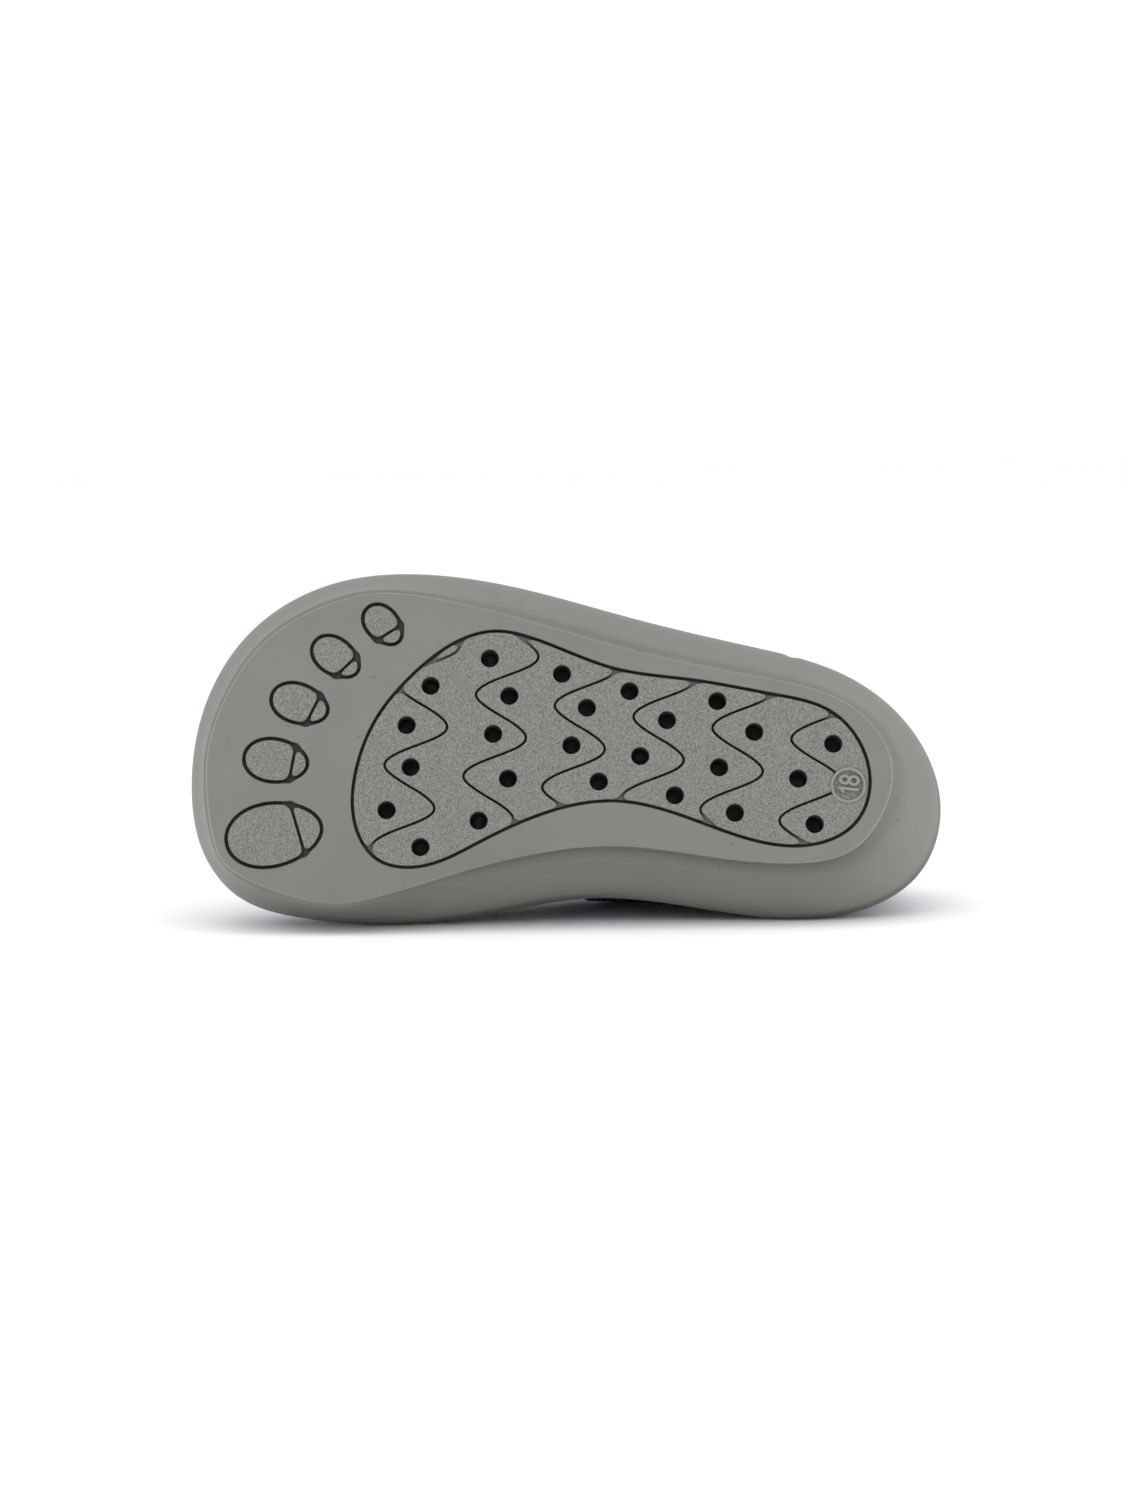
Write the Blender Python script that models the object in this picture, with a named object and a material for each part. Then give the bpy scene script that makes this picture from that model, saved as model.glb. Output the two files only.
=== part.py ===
"""Baby sneaker for a left foot, European size 18, lying on its inner side.

The shoe is modelled upright in its own axes, in millimetres: x from the back of the heel to the
toe, y from the inner edge of the sole to the outer, z up from the tread. An empty then lays it on
its inner side, so that it rests on the rim of the sole and on the quarter of the upper.
"""

import math
from collections import namedtuple

import bmesh
import bpy
import numpy as np
from mathutils import Matrix, Vector
from mathutils.geometry import delaunay_2d_cdt

MM = 0.001
AROUND = 80  # points round each ring of the shoe
GAP = 0.3  # between pieces that meet

# Sole, in millimetres
LENGTH = 128.0
SPRING_FROM, TOE_SPRING = 88.0, 4.0  # the tread curls up from here to the toe
HEEL_FROM, HEEL_LIFT = 22.0, 0.8  # and a little from here to the back of the heel
BED_AT_HEEL, BED_AT_TOE = 10.0, 8.5  # thickness from the tread to the bed of the cup
CUP_WALL = 2.6
FLARE_FOOT = 1.2  # height of the tread step below the flare
LIP_INSET, LIP_RISE = 2.4, 0.5  # inner edge of the lip, from the rim

# Upper, insole, tongue and strap, in millimetres
WALL, COLLAR_WALL = 1.8, 3.4
COLLAR_FROM, COLLAR_OVER = 58.0, 16.0  # the wall thickens into the padded collar
WALL_LEVELS = (-1, -0.5, 0, 0.1, 0.22, 0.34, 0.46, 0.58, 0.7, 0.82, 0.92, 1)
INSOLE_THICK = 2.8
TONGUE_THICK, TONGUE_ROOT_THICK = 3.2, 1.2
STRAP_THICK, STRAP_GAP, STRAP_WIDTH = 1.6, 0.5, 14.0
STRAP_SPAN = 0.02  # share of the way round the shoe over which the strap's width is measured

# Tread pattern, in millimetres
GROOVE_WIDTH, GROOVE_DEPTH = 0.55, 2.0
HOLE_RADIUS, HOLE_DEPTH, HOLE_POINTS = 1.48, 7.0, 10
MARK_X, MARK_Y, MARK_RADIUS, MARK_RING, MARK_DEPTH = 16.85, 20.85, 3.0, 0.5, 0.5
ZIGZAG_X, ZIGZAG_Y = 79.0, 37.1  # a tip that points to the toe
ZIGZAG_PITCH_X, ZIGZAG_PITCH_Y = 13.2, 2.07  # from one line to the next
ZIGZAG_PERIOD, ZIGZAG_SLANT = 13.75, 0.166
ZIGZAG_STEP = 1.15
ZIGZAG_LINES = range(-4, 2)
# How far a zigzag lies behind its tips, in twelve even steps over its period
ZIGZAG_WAVE = (0, 0.61, 2.55, 5.44, 8.12, 9.45, 9.29, 8.09, 6.37, 4.32, 2.4, 0.81)

# Sections round the shoe, from the tread, over the rim of the sole, to the edge of the opening
Section = namedtuple(
    "Section", "place tread_x tread_y rim_x rim_y rim_z edge_x edge_y edge_z"
)
SECTIONS = (
    Section("heel back", 9.4, 22.0, -0.2, 19.5, 18.5, 6.2, 21.0, 52.5),
    Section("heel inner corner", 12.5, 13.9, 3.8, 7.5, 16.8, 9.8, 13.4, 51.0),
    Section("heel inner", 20.5, 8.5, 18.0, 0.25, 15.0, 19.0, 9.2, 47.8),
    Section("waist inner back", 36.5, 8.75, 36.0, 0.87, 14.7, 36.0, 8.8, 47.6),
    Section("waist inner", 59.0, 11.3, 60.5, 3.8, 14.7, 53.5, 10.8, 53.0),
    Section("waist inner front", 75.3, 9.0, 75.3, 1.75, 14.8, 66.5, 18.5, 49.5),
    Section("ball inner", 95.0, 3.5, 93.5, -0.15, 15.0, 75.5, 23.0, 45.5),
    Section("toe inner side", 107.5, 3.0, 108.5, 1.1, 15.3, 80.0, 25.3, 43.5),
    Section("toe inner corner", 119.6, 7.9, 120.6, 5.3, 16.0, 82.5, 27.0, 42.6),
    Section("toe inner", 123.3, 13.3, 126.4, 13.0, 16.6, 83.6, 28.5, 42.2),
    Section("toe tip", 124.6, 24.5, 128.3, 24.3, 17.0, 84.0, 30.0, 42.0),
    Section("toe outer", 122.1, 35.7, 125.9, 38.1, 16.6, 83.4, 31.8, 42.2),
    Section("toe outer corner", 114.4, 46.9, 117.6, 51.0, 16.0, 82.0, 33.5, 42.6),
    Section("ball outer front", 101.0, 53.7, 103.0, 58.95, 15.4, 79.0, 35.2, 43.5),
    Section("ball outer", 91.5, 54.4, 90.5, 60.2, 15.0, 74.0, 37.0, 45.3),
    Section("waist outer front", 74.1, 50.65, 73.0, 57.8, 14.6, 65.5, 39.2, 49.0),
    Section("waist outer", 53.2, 44.4, 52.0, 51.85, 14.4, 52.5, 40.6, 52.0),
    Section("heel outer front", 33.4, 39.8, 31.5, 46.65, 14.8, 33.0, 38.0, 47.0),
    Section("heel outer", 20.7, 36.6, 16.9, 42.15, 15.6, 17.0, 34.4, 47.6),
    Section("heel outer corner", 12.8, 31.4, 5.9, 34.0, 17.2, 8.7, 28.2, 50.6),
)
PLACE = {row.place: number for number, row in enumerate(SECTIONS)}

# How the wall of the upper curves from the rim to the opening, along the foot
WallForm = namedtuple("WallForm", "x rise lean_inner lean_outer reach drop puff_inner puff_outer")
WALL_FORMS = (
    WallForm(0, 11, 1.2, 1.2, 1.25, 13, 0, 0),
    WallForm(20, 11, -0.8, 0.8, 0.65, 12, 0, 0.5),
    WallForm(38, 12, 0, 0.8, 0.8, 11, 0.6, 0.5),
    WallForm(58, 15, 2.8, 0.8, 1, 7.5, 2.3, 0),
    WallForm(78, 15, 0.8, 1.2, 0.85, 5, 0.4, 0),
    WallForm(95, 14, 1.2, 1.4, 0.68, 4.5, 0, 0),
    WallForm(112, 15, 1.2, 1.2, 0.62, 3.5, 0, 0),
    WallForm(128, 16, 1, 1, 0.6, 3, 0, 0),
)

# Side of the sole from the tread to the inside of the lip: share of the way from the tread to the
# rim and millimetres beyond it, outwards and up, and how much deeper the recess beside the tread
# lies where the flare is wide
SideRow = namedtuple("SideRow", "out_share out up_share up recess", defaults=(0,))
SIDE = (
    SideRow(0, -0.3, 0, 0),
    SideRow(0, 0, 0, 0.2),
    SideRow(0, 0.2, 0, 1.0, 1.2),
    SideRow(0.05, 0.26, 0, 1.3, 2.0),
    SideRow(0.13, 0.2, 0.025, 1.3, 2.0),
    SideRow(0.22, 0.1, 0.11, 1.1, 1.2),
    SideRow(0.39, 0, 0.285, 0.7, 0.35),
    SideRow(0.62, 0, 0.5, 0.35),
    SideRow(0.81, 0, 0.67, 0.1),
    SideRow(0.92, 0, 0.795, 0),
    SideRow(0.98, 0, 0.91, 0),
    SideRow(1, 0, 0.985, 0.15),
    SideRow(1, -0.12, 1, 0.65),
    SideRow(1, -0.8, 1, 1.0),
    SideRow(1, -LIP_INSET, 1, LIP_RISE),
)

# Outline of the footprint pad
PadPoint = namedtuple("PadPoint", "x y")
PAD = (
    PadPoint(12.9, 21.6),
    PadPoint(15.6, 14.3),
    PadPoint(22.4, 10.8),
    PadPoint(30.0, 10.9),
    PadPoint(42.5, 15.0),
    PadPoint(55.8, 18.5),
    PadPoint(69.0, 16.2),
    PadPoint(79.3, 11.6),
    PadPoint(89.3, 7.9),
    PadPoint(96.1, 9.4),
    PadPoint(99.4, 14.2),
    PadPoint(99.4, 25.2),
    PadPoint(96.1, 33.3),
    PadPoint(89.3, 41.3),
    PadPoint(82.6, 46.2),
    PadPoint(75.9, 48.1),
    PadPoint(69.0, 46.7),
    PadPoint(55.7, 41.5),
    PadPoint(42.4, 39.3),
    PadPoint(29.0, 36.7),
    PadPoint(19.0, 33.4),
)

# Toe pads: egg-shaped, each cut across behind its middle
ToePad = namedtuple("ToePad", "toe x y half_length half_width turn cut_share cut_turn")
TOE_PADS = (
    ToePad("little", 94.5, 49.2, 4.2, 3.0, 48.7, 0.4, 10),
    ToePad("fourth", 102.5, 43.9, 4.75, 3.27, 36.9, 0.5, 11),
    ToePad("third", 108.7, 36.1, 5.25, 3.55, 20.6, 0.475, 7),
    ToePad("second", 112.8, 26.6, 5.7, 3.9, 9.7, 0.505, 2),
    ToePad("big", 113.2, 14.15, 8.4, 5.6, -8, 0.49, -8),
)
TOE_POINTS = 22

# Round holes in the pad
Hole = namedtuple("Hole", "x y")
HOLES = (
    Hole(94.2, 17.8),
    Hole(90.7, 32.1),
    Hole(90.1, 25.0),
    Hole(88.6, 11.5),
    Hole(86.6, 38.7),
    Hole(78.8, 15.8),
    Hole(76.6, 43.2),
    Hole(76.2, 30.4),
    Hole(73.8, 22.8),
    Hole(73.4, 36.8),
    Hole(64.5, 40.4),
    Hole(63.1, 28.3),
    Hole(60.4, 34.6),
    Hole(58.6, 22.1),
    Hole(53.2, 37.3),
    Hole(51.6, 26.3),
    Hole(47.0, 32.3),
    Hole(45.9, 19.6),
    Hole(38.5, 35.4),
    Hole(38.4, 24.2),
    Hole(35.9, 16.5),
    Hole(32.4, 30.1),
    Hole(25.2, 22.1),
    Hole(22.6, 14.4),
    Hole(19.2, 27.9),
)

# Free end of the tongue above the throat
TongueRow = namedtuple("TongueRow", "rise width_share crown")
TONGUE_TOP = (
    TongueRow(14.0, 0.5, 2.0),
    TongueRow(12.6, 0.68, 2.8),
    TongueRow(9.5, 0.8, 3.4),
    TongueRow(4.5, 0.86, 4.0),
)
TONGUE_RISE_X, TONGUE_RISE_Z = -0.55, 0.835


def table(rows, *names):
    """The named columns of a table, as an array."""
    return np.array([[getattr(row, name) for name in names] for row in rows], float)


def knots_round(points):
    """Where each point of a closed outline lies along it, from 0 to 1."""
    steps = np.linalg.norm(np.roll(points, -1, axis=0) - points, axis=1)
    return np.concatenate([[0], np.cumsum(steps)]) / steps.sum()


def closed_spline(knots, values):
    """A function of the way round, smooth through every row of values."""
    span = np.diff(knots)
    count = len(span)
    system = np.zeros((count, count))
    change = np.zeros_like(values)
    for i in range(count):
        after = (i + 1) % count
        system[i, i - 1] += span[i - 1]
        system[i, i] += 2 * (span[i - 1] + span[i])
        system[i, after] += span[i]
        forward = (values[after] - values[i]) / span[i]
        change[i] = 6 * (forward - (values[i] - values[i - 1]) / span[i - 1])
    bend = np.linalg.solve(system, change)

    def at(way):
        way = np.asarray(way) % 1
        i = np.clip(np.searchsorted(knots, way, side="right") - 1, 0, count - 1)
        after = (i + 1) % count
        b = ((way - knots[i]) / span[i])[..., None]
        a = 1 - b
        curve = (a**3 - a) * bend[i] + (b**3 - b) * bend[after]
        return a * values[i] + b * values[after] + curve * (span[i] ** 2)[..., None] / 6

    return at


KNOTS = knots_round(table(SECTIONS, "rim_x", "rim_y"))
tread_edge = closed_spline(KNOTS, table(SECTIONS, "tread_x", "tread_y"))
rim = closed_spline(KNOTS, table(SECTIONS, "rim_x", "rim_y"))
rim_height = closed_spline(KNOTS, table(SECTIONS, "rim_z"))
opening = closed_spline(KNOTS, table(SECTIONS, "edge_x", "edge_y", "edge_z"))
zigzag_wave = closed_spline(np.linspace(0, 1, 13), np.array(ZIGZAG_WAVE)[:, None])


def wall_form_rows():
    """The wall's curve at each section, by its place along the foot."""
    along = table(WALL_FORMS, "x")[:, 0]
    rows = []
    for section in SECTIONS:
        side = "inner" if section.rim_y < LENGTH / 5 else "outer"
        names = ("rise", "lean_" + side, "reach", "drop", "puff_" + side)
        columns = table(WALL_FORMS, *names).T
        rows.append([np.interp(section.rim_x, along, column) for column in columns])
    return np.array(rows)


wall_form = closed_spline(KNOTS, wall_form_rows())


def ease(x):
    """0 below 0, 1 above 1 and smooth between."""
    x = np.clip(x, 0, 1)
    return x * x * (3 - 2 * x)


def tread_z(x):
    toe = np.clip((x - SPRING_FROM) / (LENGTH - SPRING_FROM), 0, None)
    heel = np.clip((HEEL_FROM - x) / HEEL_FROM, 0, None)
    return TOE_SPRING * toe**2 + HEEL_LIFT * heel**2


def bed_z(x):
    return tread_z(x) + BED_AT_HEEL + (BED_AT_TOE - BED_AT_HEEL) * x / LENGTH


def unit(vectors):
    return vectors / np.linalg.norm(vectors, axis=-1, keepdims=True)


def outwards(curve, way):
    """The direction in plan that points out of a closed curve."""
    ahead = curve(way + 1e-4) - curve(way - 1e-4)
    return unit(np.stack([ahead[..., 1], -ahead[..., 0]], axis=-1))


def with_height(plan, height):
    return np.concatenate([plan, np.asarray(height)[..., None]], axis=-1)


def side_ring(way, row):
    """One ring of the side of the sole."""
    foot = tread_edge(way)
    flare = rim(way) - foot
    plan = foot + flare * row.out_share + outwards(rim, way) * row.out
    low = tread_z((foot if row.out_share else plan)[..., 0])
    up = row.up + row.recess * ease((np.linalg.norm(flare, axis=-1) - 5.5) / 2.5)
    return with_height(plan, low + (rim_height(way)[..., 0] - low) * row.up_share + up)


def cup_ring(way, inset):
    """The ring at the foot of the cup's inner wall, moved in by inset."""
    foot, edge = tread_edge(way), rim(way)
    low = tread_z(foot[..., 0])
    share = (bed_z(edge[..., 0]) - low - FLARE_FOOT) / (rim_height(way)[..., 0] - low)
    flare = np.linalg.norm(edge - foot, axis=-1)
    into = (1 - share) * flare + CUP_WALL + inset
    plan = edge - outwards(rim, way) * into[..., None]
    return with_height(plan, bed_z(plan[..., 0]))


def upper_outside(way, level):
    """The outside of the upper: level -1 is the bed of the cup, 0 the rim and 1 the opening."""
    way, level = np.broadcast_arrays(way, level)
    up = np.array([0, 0, 1.0])
    base = cup_ring(way, 1.2 * GAP) + up * GAP
    out = with_height(outwards(rim, way), np.zeros(way.shape))
    foot = with_height(rim(way), rim_height(way)[..., 0] + LIP_RISE + GAP)
    foot = foot - out * (LIP_INSET + 1.2 * GAP)
    edge = opening(way)
    rise, lean, reach, drop, puff = np.moveaxis(wall_form(way)[..., None], -2, 0)
    first = foot + up * rise + out * lean
    back = (foot - edge) * np.array([1, 1, 0.0])
    second = edge + back * reach + out * puff - up * drop
    t = np.clip(level, 0, 1)[..., None]
    s = 1 - t
    wall = s**3 * foot + 3 * s * s * t * first + 3 * s * t * t * second + t**3 * edge
    return wall + (base - foot) * np.clip(-level, 0, 1)[..., None]


def upper_normal(way, level):
    along = upper_outside(way + 1e-4, level) - upper_outside(way - 1e-4, level)
    high = np.clip(np.asarray(level) + 0.01, -1, 1)
    low = np.clip(np.asarray(level) - 0.01, -1, 1)
    return unit(np.cross(along, upper_outside(way, high) - upper_outside(way, low)))


def upper_inside(way, level, more=0.0):
    """The inside of the upper, moved further in by more."""
    way, level = np.broadcast_arrays(way, level)
    collar = np.clip((COLLAR_FROM - opening(way)[..., 0]) / COLLAR_OVER, 0, 1)
    swell = collar * ease((level - 0.5) / 0.4)
    thick = WALL + (COLLAR_WALL - WALL) * swell + more
    return upper_outside(way, level) - upper_normal(way, level) * thick[..., None]


def bridge(first, second, start_slope, end_slope, shares):
    """Points of a smooth curve from first to second, with the slopes given at its ends."""
    rows = []
    for s in shares:
        start, end = 2 * s**3 - 3 * s**2 + 1, 3 * s**2 - 2 * s**3
        leave, arrive = s**3 - 2 * s**2 + s, s**3 - s**2
        rows.append(start * first + end * second + leave * start_slope + arrive * end_slope)
    return np.array(rows)


def add_ring(mesh, points):
    return [mesh.verts.new(Vector(point) * MM) for point in points]


def skin(mesh, one, two):
    """Faces between two rings of vertices."""
    for i in range(len(one)):
        mesh.faces.new((one[i - 1], one[i], two[i], two[i - 1]))


def plan_fill(mesh, rings, kinds, spots, height):
    """Fills the first ring in plan, cut along the others.

    Returns the vertices of the first ring, and the faces with the kinds of ring that hold them.
    """
    flat = [Vector(point[:2]) for ring in rings for point in ring]
    loops = []
    count = 0
    for ring in rings:
        loops.append(list(range(count, count + len(ring))))
        count += len(ring)
    flat += [Vector(spot) for spot in spots]
    made, _, faces, sources, _, owners = delaunay_2d_cdt(flat, [], loops, 1, 1e-5)
    verts = [mesh.verts.new(Vector((p.x, p.y, float(height(p.x)))) * MM) for p in made]
    home = {old: vert for vert, olds in zip(verts, sources) for old in olds}
    filled = []
    for face, owner in zip(faces, owners):
        filled.append((mesh.faces.new([verts[i] for i in face]), {kinds[k] for k in owner}))
    return [home[i] for i in loops[0]], filled


def inside(points, ring):
    """Which points lie inside a closed outline in plan."""
    x, y = points[:, None, 0], points[:, None, 1]
    x0, y0 = ring[:, 0], ring[:, 1]
    x1, y1 = np.roll(x0, -1), np.roll(y0, -1)
    crosses = (y0 > y) != (y1 > y)
    where = x0 + (y - y0) * (x1 - x0) / np.where(y1 == y0, 1, y1 - y0)
    return (crosses & (x < where)).sum(axis=1) % 2 == 1


def grid_spots(rings, spacing, clearance):
    """Points on a square grid inside the first ring and clear of every ring."""
    first = rings[0][:, :2]
    low, high = first.min(axis=0), first.max(axis=0)
    axes = [np.arange(low[i] + spacing / 2, high[i], spacing) for i in (0, 1)]
    spots = np.stack(np.meshgrid(*axes), axis=-1).reshape(-1, 2)
    spots = spots[inside(spots, first)]
    every = np.concatenate([ring[:, :2] for ring in rings])
    apart = np.linalg.norm(spots[:, None] - every, axis=2).min(axis=1)
    return spots[apart > clearance]


def ribbon(points, width):
    """A closed outline of this width along a line of points."""
    ahead = unit(np.gradient(points, axis=0))
    aside = np.stack([-ahead[:, 1], ahead[:, 0]], axis=1) * width / 2
    return np.concatenate([points + aside, (points - aside)[::-1]])


def egg(x, y, half_length, half_width, turn, count):
    angle = np.linspace(0, 2 * np.pi, count, endpoint=False)
    along = half_length * np.cos(angle)
    across = half_width * np.sin(angle) * (1 + 0.1 * np.cos(angle))
    return turned(np.stack([along, across], axis=1), turn) + np.array([x, y])


def turned(points, degrees):
    c, s = math.cos(math.radians(degrees)), math.sin(math.radians(degrees))
    return points @ np.array([[c, s], [-s, c]])


def zigzag(line):
    """The middle of one zigzag groove: a row of points across the sole."""
    y = np.arange(0, 60, ZIGZAG_STEP)
    from_tip = y - ZIGZAG_Y - line * ZIGZAG_PITCH_Y
    behind = zigzag_wave(from_tip / ZIGZAG_PERIOD)[:, 0]
    x = ZIGZAG_X + line * ZIGZAG_PITCH_X - ZIGZAG_SLANT * from_tip - behind
    return np.stack([x, y], axis=1)


def run_across(point, before, ring):
    """Where a line that comes from before to point, turned a little to a ring, has crossed it."""
    aside = ring - point
    nearest = aside[np.linalg.norm(aside, axis=1).argmin()]
    ahead = unit(unit(point - before) + 0.35 * unit(nearest))
    onwards = point + ahead * np.arange(0.1, 6, 0.1)[:, None]
    return onwards[~inside(onwards, ring)][:1]


def runs_inside(points, ring, clear):
    """The stretches of a line in an outline, their ends cut back clear of it and run across it."""
    kept = np.flatnonzero(inside(points, ring))
    apart = np.linalg.norm(points[:, None] - ring, axis=2).min(axis=1)
    for run in np.split(kept, np.flatnonzero(np.diff(kept) > 1) + 1):
        off = run[apart[run] > clear]
        if len(off) > 1:
            line = points[off[0] : off[-1] + 1]
            start, end = run_across(line[0], line[1], ring), run_across(line[-1], line[-2], ring)
            yield np.concatenate([start, line, end])


def tread_rings(edge):
    """The outlines that cut the tread, and what each one is."""
    rings, kinds = [edge], ["edge"]

    def add(kind, ring):
        rings.append(ring)
        kinds.append(kind)

    points = table(PAD, "x", "y")
    pad_curve = closed_spline(knots_round(points), points)
    way = np.linspace(0, 1, 84, endpoint=False)
    pad = pad_curve(way)
    add("pad", pad)
    add("pad core", pad - outwards(pad_curve, way) * GROOVE_WIDTH)
    pad_line = pad_curve(np.linspace(0, 1, 900, endpoint=False))
    for line in ZIGZAG_LINES:
        for run in runs_inside(zigzag(line), pad_line, 0.95):
            add("zigzag", ribbon(run, GROOVE_WIDTH))
    for toe in TOE_PADS:
        half = np.array([toe.half_length, toe.half_width])
        add("toe", egg(toe.x, toe.y, *half, toe.turn, TOE_POINTS))
        add("toe core", egg(toe.x, toe.y, *(half - GROOVE_WIDTH), toe.turn, TOE_POINTS))
        reach = toe.half_width * math.sqrt(1 - toe.cut_share**2)
        cut = turned(np.array([[0, -reach], [0, 0], [0, reach]]), toe.cut_turn)
        cut = turned(cut - np.array([toe.cut_share * toe.half_length, 0]), toe.turn)
        add("toe cut", ribbon(cut + np.array([toe.x, toe.y]), GROOVE_WIDTH))
    for hole in HOLES:
        add("hole", egg(hole.x, hole.y, HOLE_RADIUS, HOLE_RADIUS, 0, HOLE_POINTS))
    add("mark", egg(MARK_X, MARK_Y, MARK_RADIUS, MARK_RADIUS, 0, 20))
    floor = MARK_RADIUS - MARK_RING
    add("mark floor", egg(MARK_X, MARK_Y, floor, floor, 0, 20))
    return rings, kinds


def depth_of(kinds):
    """How deep the tread is cut where these outlines hold it."""
    if "hole" in kinds:
        return HOLE_DEPTH
    if "mark floor" in kinds:
        return MARK_DEPTH
    if "mark" in kinds:
        return 0
    in_pad = "pad" in kinds and ("pad core" not in kinds or "zigzag" in kinds)
    in_toe = "toe" in kinds and ("toe core" not in kinds or "toe cut" in kinds)
    return GROOVE_DEPTH if in_pad or in_toe else 0


def finish(mesh, name, material):
    bmesh.ops.recalc_face_normals(mesh, faces=mesh.faces)
    data = bpy.data.meshes.new(name)
    mesh.to_mesh(data)
    mesh.free()
    data.materials.append(material)
    piece = bpy.data.objects.new(name, data)
    bpy.context.scene.collection.objects.link(piece)
    return piece


def make_material(name, colour, roughness):
    material = bpy.data.materials.new(name)
    material.use_nodes = True
    shader = material.node_tree.nodes["Principled BSDF"]
    shader.inputs["Base Color"].default_value = (*colour, 1)
    shader.inputs["Roughness"].default_value = roughness
    return material


def make_sole():
    way = np.arange(AROUND) / AROUND
    side = [side_ring(way, row) for row in SIDE]
    bed = cup_ring(way, 0)
    mesh = bmesh.new()
    rings, kinds = tread_rings(side[0])
    spots = grid_spots(rings, 7, 1.5)
    ring, filled = plan_fill(mesh, rings, kinds, spots, tread_z)
    for depth in (GROOVE_DEPTH, MARK_DEPTH, HOLE_DEPTH):
        cut = [face for face, kinds_here in filled if depth_of(kinds_here) == depth]
        grown = bmesh.ops.extrude_face_region(mesh, geom=cut)["geom"]
        moved = [item for item in grown if isinstance(item, bmesh.types.BMVert)]
        bmesh.ops.translate(mesh, verts=moved, vec=(0, 0, depth * MM))
        bmesh.ops.delete(mesh, geom=cut, context="FACES")
    for points in side[1:]:
        wider = add_ring(mesh, points)
        skin(mesh, ring, wider)
        ring = wider
    foot, _ = plan_fill(mesh, [bed], ["bed"], grid_spots([bed], 12, 5), bed_z)
    skin(mesh, ring, foot)
    return finish(mesh, "sole", make_material("grey moulded rubber", (0.26, 0.27, 0.25), 0.6))


def make_insole():
    way = np.arange(AROUND) / AROUND
    outline = cup_ring(way, WALL * 1.25 + 3 * GAP)
    low = outline + np.array([0, 0, GAP])
    mesh = bmesh.new()
    spots = grid_spots([low], 12, 5)
    under, _ = plan_fill(mesh, [low], ["insole"], spots, lambda x: bed_z(x) + GAP)
    over, _ = plan_fill(mesh, [low], ["insole"], spots, lambda x: bed_z(x) + GAP + INSOLE_THICK)
    skin(mesh, under, over)
    return finish(mesh, "insole", make_material("grey textile footbed", (0.35, 0.35, 0.36), 0.9))


def make_upper():
    way = np.arange(AROUND) / AROUND
    outer = [upper_outside(way, level) for level in WALL_LEVELS]
    inner = [upper_inside(way, level) for level in WALL_LEVELS]
    across = np.linalg.norm(outer[-1] - inner[-1], axis=1, keepdims=True)
    lip = (outer[-1] + inner[-1]) / 2 + unit(outer[-1] - outer[-2]) * across * 0.4
    mesh = bmesh.new()
    rings = [add_ring(mesh, points) for points in [*outer, lip, *inner[::-1]]]
    for i in range(len(rings)):
        skin(mesh, rings[i - 1], rings[i])
    return finish(mesh, "upper", make_material("indigo leather", (0.035, 0.03, 0.19), 0.55))


def make_slab(name, under, over, material):
    """A sheet with thickness, between two grids of points."""
    mesh = bmesh.new()
    low = [add_ring(mesh, row) for row in under]
    high = [add_ring(mesh, row) for row in over]
    last_row, last = len(low) - 1, len(low[0]) - 1
    for grid in (low, high):
        for i in range(last_row):
            for j in range(last):
                mesh.faces.new((grid[i][j], grid[i][j + 1], grid[i + 1][j + 1], grid[i + 1][j]))
    border = [(0, j) for j in range(last)]
    border += [(i, last) for i in range(last_row)]
    border += [(last_row, j) for j in range(last, 0, -1)]
    border += [(i, 0) for i in range(last_row, 0, -1)]
    skin(mesh, [low[i][j] for i, j in border], [high[i][j] for i, j in border])
    return finish(mesh, name, material)


def grid_normals(grid):
    """Upward normals of a grid of points."""
    normals = unit(np.cross(np.gradient(grid, axis=0), np.gradient(grid, axis=1)))
    return normals * np.sign(normals[..., 2].sum())


def make_tongue():
    rows = []
    thick = []
    for share in np.linspace(0, 1, 10):
        inner = np.interp(share, (0, 1), (KNOTS[PLACE["waist inner"]], KNOTS[PLACE["toe inner"]]))
        outer = np.interp(share, (0, 1), (KNOTS[PLACE["waist outer"]], KNOTS[PLACE["toe outer"]]))
        deep = 0.97 - 0.11 * min(1, share / 0.35)
        under_in, edge_in = upper_inside(inner, np.array([deep, 0.985]), GAP * 1.3)
        under_out, edge_out = upper_inside(outer, np.array([deep, 0.985]), GAP * 1.3)
        width = np.linalg.norm(edge_out - edge_in)
        start = unit(edge_in - under_in) * width * 0.8
        end = unit(under_out - edge_out) * width * 0.8
        middle = bridge(edge_in, edge_out, start, end, (0.2, 0.4, 0.6, 0.8))
        rows.append([under_in, edge_in, *middle, edge_out, under_out])
        thick.append(TONGUE_THICK + (TONGUE_ROOT_THICK - TONGUE_THICK) * share)
    first = np.array(rows[0])
    centre = (first[1] + first[-2]) / 2
    aside = (first[-2] - first[1]) / 2
    rise = np.array([TONGUE_RISE_X, 0, TONGUE_RISE_Z])
    top = []
    for row in TONGUE_TOP:
        spread = np.linspace(-1, 1, len(first))[:, None]
        arch = np.array([0, 0, row.crown]) * (1 - spread**2)
        top.append(centre + aside * spread * row.width_share + arch + rise * row.rise)
    grid = np.array([*top, *rows])
    thick = np.array([TONGUE_THICK * 0.7] + [TONGUE_THICK] * (len(top) - 1) + thick)
    under = grid - grid_normals(grid) * thick[:, None, None]
    material = make_material("indigo tongue fabric", (0.05, 0.045, 0.22), 0.85)
    return make_slab("tongue", under, grid, material)


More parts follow.
